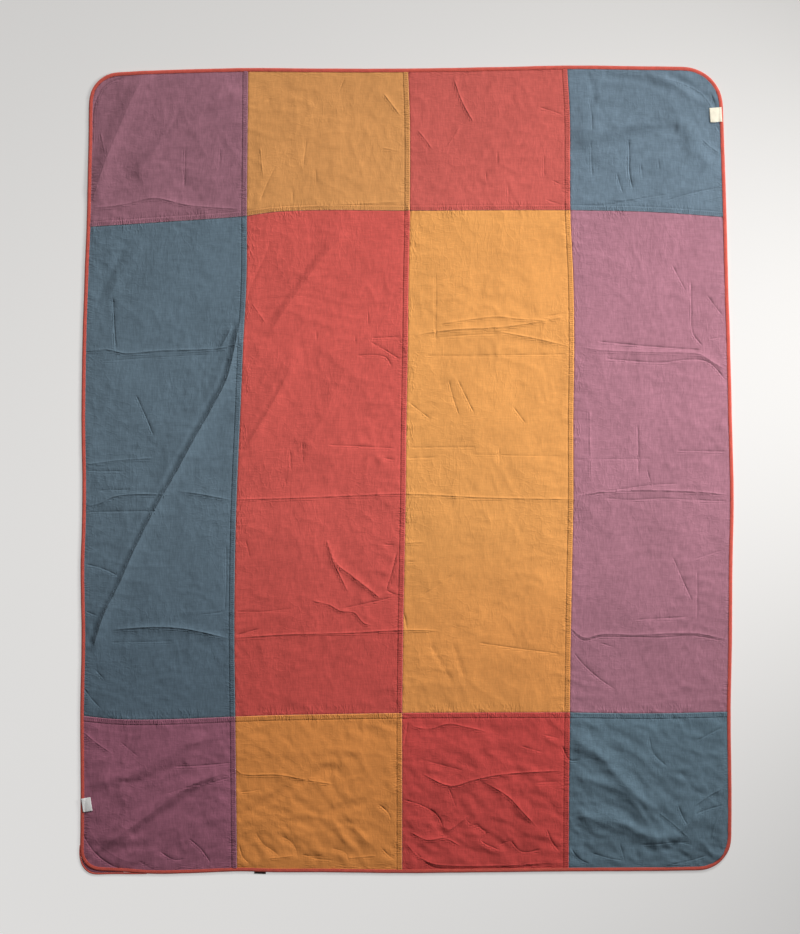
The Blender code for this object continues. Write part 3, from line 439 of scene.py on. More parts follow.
# How rumpled each panel lies: the height of its soft folds in mm, and which way they run, in
# degrees from level
Rumple = namedtuple("Rumple", "rise turn")
RUMPLES = {
    "foot_1": Rumple(2.4, 34), "foot_2": Rumple(1.9, -46),
    "foot_3": Rumple(2.8, -36), "foot_4": Rumple(3.6, -32),
    "long_1": Rumple(0.6, 60), "long_2": Rumple(0.6, 52),
    "long_3": Rumple(0.45, -58), "long_4": Rumple(0.5, -62),
    "head_1": Rumple(1.6, 48), "head_2": Rumple(0.9, 62),
    "head_3": Rumple(1.1, 52), "head_4": Rumple(2.4, 22),
}
# The size of the soft folds, how far they bend, and how much more of them stands up than sinks
RUMPLE_LONG, RUMPLE_WIDE = 58 * MM, 27 * MM
RUMPLE_BEND = 0.6
RUMPLE_RAISED = 0.3
RUMPLE_SEEDS = (61, 62, 63)
# The soft folds' height from the foot edge up: heights on the blanket in metres, and shares there
RUMPLE_PLACES, RUMPLE_SHARES = (-0.9, -0.6, -0.57), (1.3, 0.7, 1.0)
# How far from a side the soft folds lie lower, and the share of them that is left at the side
SEAM_FLATTENS = 30 * MM
HELD_BY_SEAMS = 0.25
# How much closer together the finer waves lie among the soft folds and the puckers, and how high
FINER, FINER_SHARE = 2.1, 0.5

# How a seam grooves the cloth, at distances from it in mm
Groove = namedtuple("Groove", "at depth width")
GROOVES = {
    "rim": (),
    "plain": (Groove(0, 0.9, 1.5),),
    "band": (Groove(0, 0.6, 0.9), Groove(5.2, 0.12, 0.9), Groove(11.8, 0.6, 1.1)),
}
# How the two seam allowances that are pressed to one side raise a band
BAND_RISE = 0.9 * MM
BAND_WIDTH = 10.4 * MM
BAND_SLOPE = 1.6 * MM
# How the thread draws the cloth up beside each kind of side: the height of the puckers in mm
PUCKER_RISE = {"rim": 2.0, "plain": 2.4, "band": 1.6}
PUCKER_SPACING = 11 * MM
PUCKER_REACH = 17 * MM
PUCKER_LENGTH = 30 * MM
PUCKER_CREST = 0.25
PUCKER_SKEW, SKEW_CELL = 0.5, 0.06
# The puckers come in bunches along a seam: their least height, and what a bunch adds to it
PUCKER_LEAST, BUNCH_SHARE = 0.3, 1.2
BUNCH_GAIN, BUNCH_CELL = 1.2, 0.09
PUCKER_SEED, SEEDS_A_SEAM = 40, 10
# How far from the binding the cloth's unevenness is held down, and the share that is left at it
RIM_EASE = 9 * MM
RIM_SHARE = 0.3

# The strip of the back under the foot left corner, at shares of the way round it, in mm
Peep = namedtuple("Peep", "share reach edging")
CORNER_PEEP = (
    Peep(0.00, 1.2, 0.9),
    Peep(0.14, 4.0, 3.4),
    Peep(0.24, 9.0, 4.2),
    Peep(0.33, 11.5, 4.2),
    Peep(0.44, 9.0, 4.2),
    Peep(0.62, 6.6, 4.2),
    Peep(0.80, 4.6, 4.3),
    Peep(1.00, 1.2, 0.9),
)
PEEP_FROM_Y = -87.6
PEEP_TO_X = -60.5
PEEP_LEAST = 0.3 * MM

# The binding's cross-section: how far in from its outer side, and how high, in mm
Section = namedtuple("Section", "inward height")
BINDING_SECTION = (
    Section(1.2, 0.0), Section(0.3, 0.8), Section(0.0, 2.0), Section(0.35, 3.0), Section(1.3, 3.7),
    Section(2.8, 4.1), Section(4.4, 4.1), Section(5.8, 3.9), Section(6.6, 3.5), Section(7.2, 3.6),
    Section(8.0, 3.5), Section(8.4, 2.9), Section(8.3, 1.6), Section(7.6, 0.2),
)
# How far its outer side waves in and out, and the share of its height that it swells by: each in
# two sizes along the edge, in metres, with the smaller one's share
BINDING_WAVE, WAVE_CELLS, WAVE_SHARE, WAVE_SEED = 0.5 * MM, (0.07, 0.025), 0.5, 91
BINDING_SWELL, SWELL_CELLS, SWELL_SHARE, SWELL_SEED = 0.25 / 2.4, (0.018, 0.008), 0.7, 93

# Labels and tab, in cm: the middle of the part on the panel, the size, the turn in degrees
Label = namedtuple("Label", "name node panel slot x y wide tall turn")
LABELS = (
    Label("cream_label", "woven_label", "cloth_head_4", "cream", 71.8, 82.5, 2.8, 3.4, 4),
    Label("white_label", "care_label", "cloth_foot_1", "white", -74.35, -77.8, 2.2, 3.2, 9),
)
LABEL_THICKNESS = 0.7 * MM
LABEL_FEEL = 2 * MM
LABEL_STEPS = (14, 17)
LABEL_WAVE, LABEL_WAVE_ACROSS, LABEL_WAVE_UP, LABEL_SEED = 0.35 * MM, 0.011, 0.014, 71
TAB_X = -34.1
TAB_WIDE = 2.7
TAB_SHOWS = 4.6 * MM
TAB_STATIONS = 15
# The strips that peek out from under the edge: how high each is, and how much lower at its sides
Strip = namedtuple("Strip", "height drop")
STRIPS = {
    "corner_edging_strip": Strip(3.0 * MM, 0.75),
    "corner_back_strip": Strip(2.0 * MM, 0.3),
    "tab_end": Strip(1.2 * MM, 0.2),
}
STRIP_STEPS = 5

# The stitches: their pitch along a seam, length, width and height, and how far in they lie
STITCH_PITCH = 4.8 * MM
STITCH_SIZE = (1.75 * MM, 0.36 * MM, 0.3 * MM)
NEEDLE_LINES = (5.2 * MM, 11.3 * MM)
BINDING_NEEDLE_LINE = 6.9 * MM
BINDING_NEEDLE_HEIGHT = 3.9 * MM
# How far past a panel its needle lines are drawn, before what lies too near a side is left out
SEAM_SPARE = 0.03
STITCH_INSIDE = 2 * MM
STITCH_FROM_BINDING = 1 * MM
STITCH_STANDS = 0.1 * MM

ROW_NAMES = ("foot", "long", "head")
PANEL_COLOURS = (
    ("mauve", "ochre", "red", "blue"),
    ("blue", "red", "ochre", "mauve"),
    ("mauve", "ochre", "red", "blue"),
)
# How much of its colour's red, green and blue each panel shows, in the same order
PANEL_TINTS = (
    ((0.95, 0.78, 0.88), (1.03, 0.88, 0.75), (0.97, 0.73, 0.80), (0.96, 1.00, 1.01)),
    ((0.97, 0.96, 0.97), (1.02, 1.03, 1.05), (1.01, 1.03, 1.00), (1.10, 1.14, 1.12)),
    ((0.92, 0.94, 0.94), (0.88, 0.92, 1.03), (0.91, 1.12, 1.15), (1.10, 1.05, 1.07)),
)
# Painted shade at each long panel's foot end: how much of its colour it keeps there, and the heights
# on the blanket between which the shade comes in, in metres
FOOT_END_SHADE = ((0.87, 0.89, 0.91), (0.97, 0.86, 0.88), (1.01, 0.93, 0.89), (0.99, 0.97, 0.99))
SHADE_FROM, SHADE_FULL_AT = -0.08, -0.46
# How much of the slubs each colour shows
SLUB_SHOWS = {"mauve": 1.0, "ochre": 0.5, "red": 0.85, "blue": 1.0}
COLOURS = {
    "mauve": (0.315, 0.133, 0.180),
    "ochre": (0.685, 0.297, 0.084),
    "red": (0.560, 0.086, 0.070),
    "blue": (0.109, 0.164, 0.208),
    "coral": (0.560, 0.090, 0.065),
    "cream": (0.82, 0.76, 0.62),
    "white": (0.84, 0.84, 0.82),
    "brown": (0.045, 0.028, 0.022),
}

COTTON_ROUGHNESS, THREAD_ROUGHNESS, PAPER_ROUGHNESS = 0.95, 0.7, 0.8
CLOTH_SHEEN, THREAD_SHEEN = 0.08, 0.1
SHEEN_ROUGHNESS = 0.6
SPECULAR = 0.25
# The cotton's grains: noise cells to the metre across and up, the noise's detail and its seed
Grain = namedtuple("Grain", "per_metre detail seed")
SLUB_UP = Grain((260, 48), 2.0, 3.1)
SLUB_ACROSS = Grain((48, 280), 2.0, 7.7)
MOTTLE = Grain((75, 60), 4.0, 1.3)
WASH = Grain((9, 7), 2.0, 5.2)
# How much each of them shows in the colour, and the first three in the pile's height in mm, which
# the pull of the needle lines lowers
SHADE_SHOWS = (0.8, 0.55, 0.45, 0.5)
PILE_SHOWS = (0.35, 0.25, 0.5, 0.25)
# The cotton's shades, as shares of its colour: its darkest and palest grain and the painted shade in its
# seams, and how much paler it is where it is worn
DARK_GRAIN, PALE_GRAIN, SEAM_PAINTED_SHADE = 0.72, 1.28, 0.42
WORN_SEAM = (1.35, 0.015)
# Where the finish paints shade beside a seam: in a band's groove, along its needle lines, and in a plain
# seam's ditch
GROOVE_AT, UPRIGHT_GROOVE, LEVEL_GROOVE = 11.9 * MM, 1.7 * MM, 1.5 * MM
PULLED_AT, PULLED_REACH = 5.4 * MM, 5.2 * MM
DITCH = (2.2 * MM, 0.2 * MM)
PAINTED_SHADE_SHOWS = (0.4, 0.45, 0.5)
# Where it is worn pale beside the upright and the level bands
UPRIGHT_WORN, LEVEL_WORN = (2.0 * MM, 0.4 * MM), (2.6 * MM, 0.4 * MM)
WORN_SHOWS = 0.4
# The woven tapes: which way their ribs run, and how rough and how streaked they are
RIBS_UP, RIBS_ACROSS = Grain((260, 900), 2.0, 2.4), Grain((900, 260), 2.0, 2.4)
Tape = namedtuple("Tape", "ribs roughness contrast")
TAPES = {
    "coral": Tape(RIBS_UP, 0.85, 0.9),
    "cream": Tape(RIBS_ACROSS, 0.7, 0.35),
    "white": Tape(RIBS_UP, 0.6, 0.3),
    "brown": Tape(RIBS_ACROSS, 0.8, 0.8),
}
TAPE_MOTTLE = Grain((90, 90), 3.0, 4.8)
TAPE_DARK, TAPE_PALE = 0.7, 1.25
TAPE_BUMP, TAPE_DEPTH = 0.45, 0.5 * MM
# The threads: the noise that their twist follows, and their shades, mostly paler than the cloth as painted
# light that makes up for the stitches' own shade
TWIST = Grain((1800, 1800), 1.0, 0.7)
THREAD_DARK, THREAD_PALE = 0.95, 1.3

# The picture: the camera hangs straight above, and this is how much of the floor it takes in
PICTURE_TALL = 2.1716
PICTURE_MIDDLE = (-15.7 * MM, 6.9 * MM)
CAMERA_HEIGHT = 6.0
CAMERA_SENSOR = 36.0
# Each lamp: its place and what it is aimed at, in metres, its size, power and beam
Lamp = namedtuple("Lamp", "name place aim size power beam")
LAMPS = (
    Lamp("window", (2.35, 0.45, 1.38), (-0.58, 0.15, 0), 1.0, 18, math.radians(79)),
    Lamp("head_lamp", (1.3, 6.5, 3.5), (0, 0, 0), 1.7, 425, math.radians(180)),
)
LAMP_COLOUR = (1.0, 0.985, 0.965)
SKY_COLOUR = (0.95, 0.975, 1.0, 1.0)
SKY_STRENGTH = 0.09
FLOOR_COLOUR = (0.56, 0.555, 0.55, 1.0)
FLOOR_REACH = 9.0
# How much the floor glows by itself at its middle, and how much less for each metre to the right
# and towards the head
FLOOR_GLOW, GLOW_LOST = 0.252, (0.08, 0.12)
GLOW_REACH = 1.1
GLOW_TINT = {"Red": 1.0, "Green": 0.99, "Blue": 0.98}


def curve(places, values, at):
    """A smooth curve through a few values, read at many places."""
    places, values = np.array(places, float), np.array(values, float)
    last = len(places) - 1
    before = np.maximum(np.arange(last + 1) - 1, 0)
    after = np.minimum(np.arange(last + 1) + 1, last)
    slopes = (values[after] - values[before]) / (places[after] - places[before])
    i = np.clip(np.searchsorted(places, at) - 1, 0, last - 1)
    step = places[i + 1] - places[i]
    t = np.clip((at - places[i]) / step, 0, 1)
    start = (2 * t**3 - 3 * t**2 + 1) * values[i] + (t**3 - 2 * t**2 + t) * slopes[i] * step
    end = (3 * t**2 - 2 * t**3) * values[i + 1] + (t**3 - t**2) * slopes[i + 1] * step
    return start + end


def upright_at(line, y):
    """X of an upright line: 0 is the left edge, 1 to 3 the seams, 4 the right edge."""
    return curve([row.y for row in UPRIGHTS], [row[line + 1] for row in UPRIGHTS], y / CM) * CM


def level_at(line, x):
    """Y of a level line: 0 is the foot edge, 1 and 2 the seams, 3 the head edge."""
    return curve([row.x for row in LEVELS], [row[line + 1] for row in LEVELS], x / CM) * CM


def ease(share):
    """From 0 to 1 without a kink at either end."""
    t = np.clip(share, 0, 1)
    return t * t * (3 - 2 * t)


def bell(t):
    """A hump that is 1 high and about 1 wide to either side."""
    return np.exp(-t * t)


def arch(t):
    """A hump that is 1 high at 0 and comes down to 0 at 1."""
    return np.cos(math.pi / 2 * np.minimum(t, 1)) ** 2


def noise(x, y, seed):
    """Smooth noise from about -0.7 to 0.7, with one cell to each unit."""
    column, row = np.floor(x).astype(np.int64), np.floor(y).astype(np.int64)
    in_x, in_y = x - column, y - row

    def pull(right, up):
        code = (column + right) * 374761393 + (row + up) * 668265263 + seed * 974634777
        code = (code ^ (code >> 13)) * 1274126177
        turn = ((code ^ (code >> 16)) & 0xFFFF) * (2 * math.pi / 0xFFFF)
        return np.cos(turn) * (in_x - right) + np.sin(turn) * (in_y - up)

    blend_x = in_x**3 * (in_x * (6 * in_x - 15) + 10)
    blend_y = in_y**3 * (in_y * (6 * in_y - 15) + 10)
    low = pull(0, 0) + (pull(1, 0) - pull(0, 0)) * blend_x
    high = pull(0, 1) + (pull(1, 1) - pull(0, 1)) * blend_x
    return low + (high - low) * blend_y


def noise_along(along, cell, seed):
    """Smooth noise along a line, with one cell to each stretch of it."""
    return noise(along / cell, along * 0, seed)


def ripples(along, cells, share, seed):
    """Noise along a line in two sizes, the smaller at a share of the height."""
    return noise_along(along, cells[0], seed) + share * noise_along(along, cells[1], seed + 1)


def run_of(line):
    """How far along a line of points each of them is."""
    return np.concatenate([[0.0], np.cumsum(np.hypot(*np.diff(line, axis=0).T))])


def resampled(path, pitch):
    """A smooth line through a few points in cm, with points about one pitch apart."""
    points = np.array(path) * CM
    along = run_of(points)
    places = np.linspace(0, along[-1], max(2, math.ceil(along[-1] / pitch) + 1))
    return np.column_stack([curve(along, points[:, k], places) for k in (0, 1)])


def beside(line, reach, x, y):
    """Which places lie within reach of a line, how far off, on which hand, and how far along."""
    low, high = line.min(axis=0) - reach, line.max(axis=0) + reach
    near = (x > low[0]) & (x < high[0]) & (y > low[1]) & (y < high[1])
    near_x, near_y = x[near], y[near]
    nearest = np.full(near_x.shape, np.inf)
    place, side = np.zeros(near_x.shape), np.zeros(near_x.shape)
    total = 0.0
    for a, b in zip(line, line[1:]):
        run_x, run_y = b - a
        length = math.hypot(run_x, run_y)
        t = np.clip(((near_x - a[0]) * run_x + (near_y - a[1]) * run_y) / length**2, 0, 1)
        away_x, away_y = near_x - a[0] - t * run_x, near_y - a[1] - t * run_y
        distance = np.hypot(away_x, away_y)
        closer = distance < nearest
        nearest = np.where(closer, distance, nearest)
        place = np.where(closer, total + t * length, place)
        side = np.where(closer, run_x * away_y - run_y * away_x, side)
        total += length
    return near, nearest, side, place, total


def ends_eased(place, length, reach):
    """0 at either end of a line, and 1 from a reach in."""
    return ease(place / reach) * ease((length - place) / reach)


def pinched(off, width, crest):
    """A fold's height across it: straight up to a crest that is hardly rounded."""
    t = np.minimum(off / width, 1)
    rounded = (np.sqrt(t * t + crest**2) - crest) / (math.hypot(1, crest) - crest)
    return (1 - rounded) ** FOLD_POWER


def from_edge(x, y):
    """How far inside the blanket's outer edge places are."""
    across = np.minimum(x - upright_at(0, y), upright_at(COLUMNS, y) - x)
    return np.minimum(across, np.minimum(y - level_at(0, x), level_at(ROWS, x) - y))


FOLD_LINES = [resampled(fold.path, FOLD_PITCH) for fold in FOLDS]


def lift(x, y):
    """How high the folds of the solids carry the cloth's underside."""
    total = np.zeros(x.shape)
    for fold, line in zip(FOLDS, FOLD_LINES):
        near, off, side, place, length = beside(line, max(fold.left, fold.right) * MM, x, y)
        width = np.where(side > 0, fold.left, fold.right) * MM
        height = fold.rise * MM * pinched(off, width, fold.crest)
        height *= ends_eased(place, length, FOLD_END_EASE)
        total[near] += height**BLEND_POWER
    return np.cbrt(total) * (EDGE_SHARE + (1 - EDGE_SHARE) * ease(from_edge(x, y) / EDGE_EASE))


def crease_lines():
    """Every small crease with its line, moved so that its crest lies behind its lit side."""
    lines = []
    for crease in CREASES:
        line = resampled(crease.path, CREASE_PITCH)
        line -= np.array(TO_THE_LIGHT) * CREST_BEHIND * crease.width * MM
        lines.append((crease, line, min(CREASE_END_EASE, CREASE_END_SHARE * run_of(line)[-1])))
    return lines


CREASE_LINES = crease_lines()


def narrow(crease):
    """1 for a crease that is mostly its sharp line, 0 for a soft one."""
    return 1 - ease((crease.width - SHARP_UP_TO) / (SOFT_FROM - SHARP_UP_TO))


def creased(x, y):
    """The creases' height at many places, the nearest sharp line's distance, and its height."""
    height, sharp = np.zeros(x.shape), np.zeros(x.shape)
    nearest = np.full(x.shape, SHARP_GONE * MM)

    def add_sharp(near, off, side, place, line_rise):
        line_rise = line_rise * (LINE_EVEN + LINE_UNEVEN * noise_along(place, LINE_PITCH, LINE_SEED))
        closer = off < np.abs(nearest[near])
        nearest[near] = np.where(closer, np.copysign(off, side), nearest[near])
        line_rise = line_rise * (1 - ease((off / MM - SHARP_FROM) / (SHARP_GONE - SHARP_FROM)))
        sharp[near] = np.where(closer, line_rise, sharp[near])

    for fold, line in zip(FOLDS, FOLD_LINES):
        near, off, side, place, length = beside(line, SHARP_GONE * MM, x, y)
        add_sharp(near, off, side, place, fold.line * ends_eased(place, length, FOLD_END_EASE))
    for crease, line, end_ease in CREASE_LINES:
        near, off, side, place, length = beside(line, max(crease.width, SHARP_GONE) * MM, x, y)
        rise = CREASE_GAIN * crease.rise * ends_eased(place, length, end_ease)
        soft = rise * (1 - (1 - NARROW_SHARE) * narrow(crease))
        height[near] += soft * MM * arch(off / (crease.width * MM))
        add_sharp(near, off, side, place, SHARP_SHARE * rise * narrow(crease))
    return height, nearest / MM, sharp


def unevenness(x, y):
    """The swells and the small wrinkles that washing leaves all over."""
    height = np.zeros(x.shape)
    for swell in SWELLS:
        height += swell.rise * MM * noise(x / (swell.across * MM), y / (swell.up * MM), swell.seed)
    patch_x, patch_y = x / WRINKLE_PATCH, y / WRINKLE_PATCH
    bend = noise(patch_x, patch_y, WARP_SEED) * WARP
    for wrinkle in WRINKLES:
        wave = noise(x / (wrinkle.across * MM) + bend, y / (wrinkle.up * MM) - bend, wrinkle.seed)
        patch = ease(PATCH_LEVEL + PATCH_GAIN * noise(patch_x, patch_y, wrinkle.seed + 10))
        height += wrinkle.rise * MM * arch(np.abs(wave) / wrinkle.share) * patch
    return height


def rumpled(rumple, x, y):
    """A panel's soft folds, which all run about the same way."""
    bend_seed, fold_seed, finer_seed = RUMPLE_SEEDS
    turn = math.radians(rumple.turn)
    bend = RUMPLE_BEND * noise(x / (2 * RUMPLE_LONG), y / (2 * RUMPLE_LONG), bend_seed)
    along = (x * math.cos(turn) + y * math.sin(turn)) / RUMPLE_LONG + bend
    across = (y * math.cos(turn) - x * math.sin(turn)) / RUMPLE_WIDE + 2 * bend
    waves = noise(along, across, fold_seed) + FINER_SHARE * noise(FINER * along, FINER * across, finer_seed)
    return rumple.rise * MM * (waves + RUMPLE_RAISED) * np.interp(y, RUMPLE_PLACES, RUMPLE_SHARES)


def seam_shape(kind, away):
    """How a seam raises and grooves the cloth at a distance from it."""
    height = np.zeros(away.shape)
    if kind == "band":
        height += BAND_RISE * (1 - ease((away - BAND_WIDTH) / BAND_SLOPE))
    for groove in GROOVES[kind]:
        height -= groove.depth * MM * bell((away / MM - groove.at) / groove.width)
    return height


def puckers(kind, along, away, seed):
    """The short waves that a seam's thread draws up beside it."""
    skew = PUCKER_SKEW * noise_along(along, SKEW_CELL, seed + 5)
    slant = along / PUCKER_SPACING + skew * away / PUCKER_SPACING
    wave = PUCKER_CREST - np.abs(noise(slant, away / PUCKER_LENGTH, seed))
    wave += FINER_SHARE * noise(FINER * slant, away / PUCKER_LENGTH, seed + 1)
    bunched = ease(0.5 + BUNCH_GAIN * noise_along(along, BUNCH_CELL, seed + 2))
    strength = PUCKER_LEAST + BUNCH_SHARE * bunched
    return PUCKER_RISE[kind] * MM * wave * strength * np.exp(-np.abs(away) / PUCKER_REACH)


Panel = namedtuple("Panel", "name colour column row left right foot head")


def panels():
    """The twelve panels with the kind of each side: rim, plain, or the band of a seam."""
    found = []
    for row in range(ROWS):
        for column in range(COLUMNS):
            found.append(Panel(
                f"{ROW_NAMES[row]}_{column + 1}",
                PANEL_COLOURS[row][column],
                column,
                row,
                "rim" if column == 0 else "plain",
                "rim" if column == COLUMNS - 1 else "band",
                ("rim", "plain", "band")[row],
                ("band", "plain", "rim")[row],
            ))
    return found


def side_kinds(panel):
    """What a panel's left, right, foot and head sides are."""
    return panel.left, panel.right, panel.foot, panel.head


def side_distances(panel, x, y):
    """How far places are from a panel's left, right, foot and head sides."""
    return (
        x - upright_at(panel.column, y),
        upright_at(panel.column + 1, y) - x,
        y - level_at(panel.row, x),
        level_at(panel.row + 1, x) - y,
    )


def relief(panel, x, y):
    """How far a panel's top stands above the folds of the solids."""
    distances = side_distances(panel, x, y)
    loose = HELD_BY_SEAMS + (1 - HELD_BY_SEAMS) * ease(np.min(distances, axis=0) / SEAM_FLATTENS)
    height = unevenness(x, y) + loose * rumpled(RUMPLES[panel.name], x, y) + creased(x, y)[0]
    # Panels that share a seam share its number, and so the seed of its puckers
    seams = (panel.column, panel.column + 1, panel.row + 10, panel.row + 11)
    for kind, seam, away, along in zip(side_kinds(panel), seams, distances, (y, y, x, x)):
        height += puckers(kind, along, away, PUCKER_SEED + SEEDS_A_SEAM * seam)
        if kind == "rim":
            height *= RIM_SHARE + (1 - RIM_SHARE) * ease((away - BINDING_WIDTH) / RIM_EASE)
    for kind, away in zip(side_kinds(panel), distances):
        height += seam_shape(kind, away)
    return height


def corner_middle(upright, level, radius):
    """The middle of the round corner between a side edge and the foot or head edge."""
    inward_x = 1 if upright == 0 else -1
    inward_y = 1 if level == 0 else -1
    x = y = 0.0
    for _ in range(CORNER_ROUNDS):
        x = upright_at(upright, y) + inward_x * radius
        y = level_at(level, x) + inward_y * radius
    return x, y


def perimeter():
    """The blanket's outer edge, anticlockwise from the foot edge's left end."""
    radius = {name: value * CM for name, value in CORNER_RADII.items()}
    foot_left = corner_middle(0, 0, radius["foot_left"])
    foot_right = corner_middle(COLUMNS, 0, radius["foot_right"])
    head_right = corner_middle(COLUMNS, ROWS, radius["head_right"])
    head_left = corner_middle(0, ROWS, radius["head_left"])

    def stops(start, end):
        return np.linspace(start, end, math.ceil(abs(end - start) / EDGE_STEP), endpoint=False)

    def arc(middle, size, quarter):
        angles = math.pi / 2 * (quarter + np.arange(ARC_STEPS) / ARC_STEPS)
        return np.column_stack([middle[0] + size * np.cos(angles), middle[1] + size * np.sin(angles)])

    foot, right = stops(foot_left[0], foot_right[0]), stops(foot_right[1], head_right[1])
    head, left = stops(head_right[0], head_left[0]), stops(head_left[1], foot_left[1])
    points = np.concatenate([
        np.column_stack([foot, level_at(0, foot)]),
        arc(foot_right, radius["foot_right"], 3),
        np.column_stack([upright_at(COLUMNS, right), right]),
        arc(head_right, radius["head_right"], 0),
        np.column_stack([head, level_at(ROWS, head)]),
        arc(head_left, radius["head_left"], 1),
        np.column_stack([upright_at(0, left), left]),
        arc(foot_left, radius["foot_left"], 2),
    ])
    for _ in range(EDGE_SMOOTHINGS):
        points = (np.roll(points, 1, axis=0) + 2 * points + np.roll(points, -1, axis=0)) / 4
    return points


def round_trip(line):
    """A line of points that ends where it starts."""
    return np.vstack([line, line[:1]])


EDGE = perimeter()
EDGE_ALONG = run_of(round_trip(EDGE))
EDGE_RUN = np.roll(EDGE, -1, axis=0) - np.roll(EDGE, 1, axis=0)
EDGE_OUT = np.column_stack([EDGE_RUN[:, 1], -EDGE_RUN[:, 0]]) / np.hypot(*EDGE_RUN.T)[:, None]
# How far the tables' middle is from the middle of the solids
BINDING_BOX = np.array(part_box("binding"))[:, :2]
SHIFT = (BINDING_BOX.sum(axis=0) - EDGE.min(axis=0) - EDGE.max(axis=0)) / 2


def grid_lines(length, first, last):
    """Where the grid lines of a sheet lie across it: closer together at its sewn sides."""
    start = np.array(GRID_LINES[first]) * MM
    end = length - np.array(GRID_LINES[last])[::-1] * MM
    count = math.ceil((end[0] - start[-1]) / GRID_PITCH)
    inner = np.linspace(start[-1], end[0], count + 1)[1:-1]
    return np.concatenate([start, inner, end])


def spread_to(lines, index, first, last, width):
    """The places of some grid lines, each over its own width: only the middle stretches."""
    start, end = GRID_LINES[first][-1] * MM, GRID_LINES[last][-1] * MM
    full, line = lines[-1], lines[index]
    middle = start + (width - start - end) * (line - start) / (full - start - end)
    return np.where(line <= start, line, np.where(line >= full - end, width - (full - line), middle))


def finished(builder, mesh):
    """A mesh that takes what a bmesh has built."""
    builder.to_mesh(mesh)
    builder.free()
    return mesh


def grid(name, columns, rows, place, thick=False):
    """A sheet of quads: place() gives its corners and flat places from their column and row."""
    builder = bmesh.new()
    bmesh.ops.create_grid(builder, x_segments=columns, y_segments=rows, size=0.5)
    if thick:
        raised = bmesh.ops.extrude_face_region(builder, geom=builder.faces[:])["geom"]
        corners = [part for part in raised if isinstance(part, bmesh.types.BMVert)]
        bmesh.ops.translate(builder, vec=(0, 0, 1), verts=corners)
        bmesh.ops.recalc_face_normals(builder, faces=builder.faces[:])
    mesh = finished(builder, bpy.data.meshes.new(name))
    corners = np.empty(len(mesh.vertices) * 3)
    mesh.vertices.foreach_get("co", corners)
    corners = corners.reshape(-1, 3)
    column = np.rint((corners[:, 0] + 0.5) * columns).astype(int)
    row = np.rint((corners[:, 1] + 0.5) * rows).astype(int)
    places, flat = place(column, row, corners[:, 2] > 0.5)
    mesh.vertices.foreach_set("co", np.column_stack(places).ravel())
    loops = np.empty(len(mesh.loops), int)
    mesh.loops.foreach_get("vertex_index", loops)
    layer = mesh.uv_layers.new(name="cloth")
    layer.data.foreach_set("uv", np.column_stack(flat)[loops].ravel())
    mesh.shade_smooth()
    mesh.update()
    return mesh


def placed(name, data):
    """A new object in the scene."""
    obj = bpy.data.objects.new(name, data)
    bpy.context.scene.collection.objects.link(obj)
    return obj


def piece(name, mesh, slot, *nodes):
    """An object on the blanket's body that stands for nodes and takes a slot's finish."""
    obj = placed(name, mesh)
    mesh.materials.append(FINISHES[slot])
    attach(obj, "root")
    if nodes:
        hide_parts(*nodes)
    return obj


def mark_cloth(mesh, seams, sharp, tint):
    """What the cotton's finish reads: distances to the seams, the sharp lines, and a tint with any painted
    shade.
    """
    count = len(mesh.vertices)
    layers = {"seams": seams, "creases": (*sharp, 1.0, 1.0), "tint": (*tint, 1.0)}
    for name, parts in layers.items():
        values = np.column_stack([np.broadcast_to(part, count) for part in parts])
        mesh.attributes.new(name, "FLOAT_COLOR", "POINT").data.foreach_set("color", values.ravel())
    rim = np.array(np.broadcast_to(seams[3], count))
    mesh.attributes.new("rim", "FLOAT", "POINT").data.foreach_set("value", rim)


def rounded_corner(panel, x, y):
    """Moves a corner panel's places so that its outer corner is round."""
    names = {(0, 0): "foot_left", (3, 0): "foot_right", (3, 2): "head_right", (0, 2): "head_left"}
    name = names.get((panel.column, panel.row))
    if name is None:
        return x, y
    radius = CORNER_RADII[name] * CM - RIM_INSET
    left, right, foot, head = side_distances(panel, x, y)
    side = left if panel.column == 0 else right
    end = foot if panel.row == 0 else head
    out_x = np.maximum(radius - (side - RIM_INSET), 0)
    out_y = np.maximum(radius - (end - RIM_INSET), 0)
    reach = np.maximum(np.hypot(out_x, out_y), TINY)
    share = np.where((out_x > 0) & (out_y > 0), np.maximum(out_x, out_y) / reach, 1.0)
    toward_x = -1 if panel.column == 0 else 1
    toward_y = -1 if panel.row == 0 else 1
    return x + toward_x * out_x * (share - 1), y + toward_y * out_y * (share - 1)


def tint_with_foot_shade(panel, y):
    """How much of its colour a panel shows at some heights, with painted shade that darkens a long one at its
    foot end.
    """
    tint = np.tile(PANEL_TINTS[panel.row][panel.column], (len(y), 1))
    if ROW_NAMES[panel.row] == "long":
        shaded = ease((SHADE_FROM - y) / (SHADE_FROM - SHADE_FULL_AT))[:, None]
        tint *= 1 - shaded * (1 - np.array(FOOT_END_SHADE[panel.column]))
    return tint


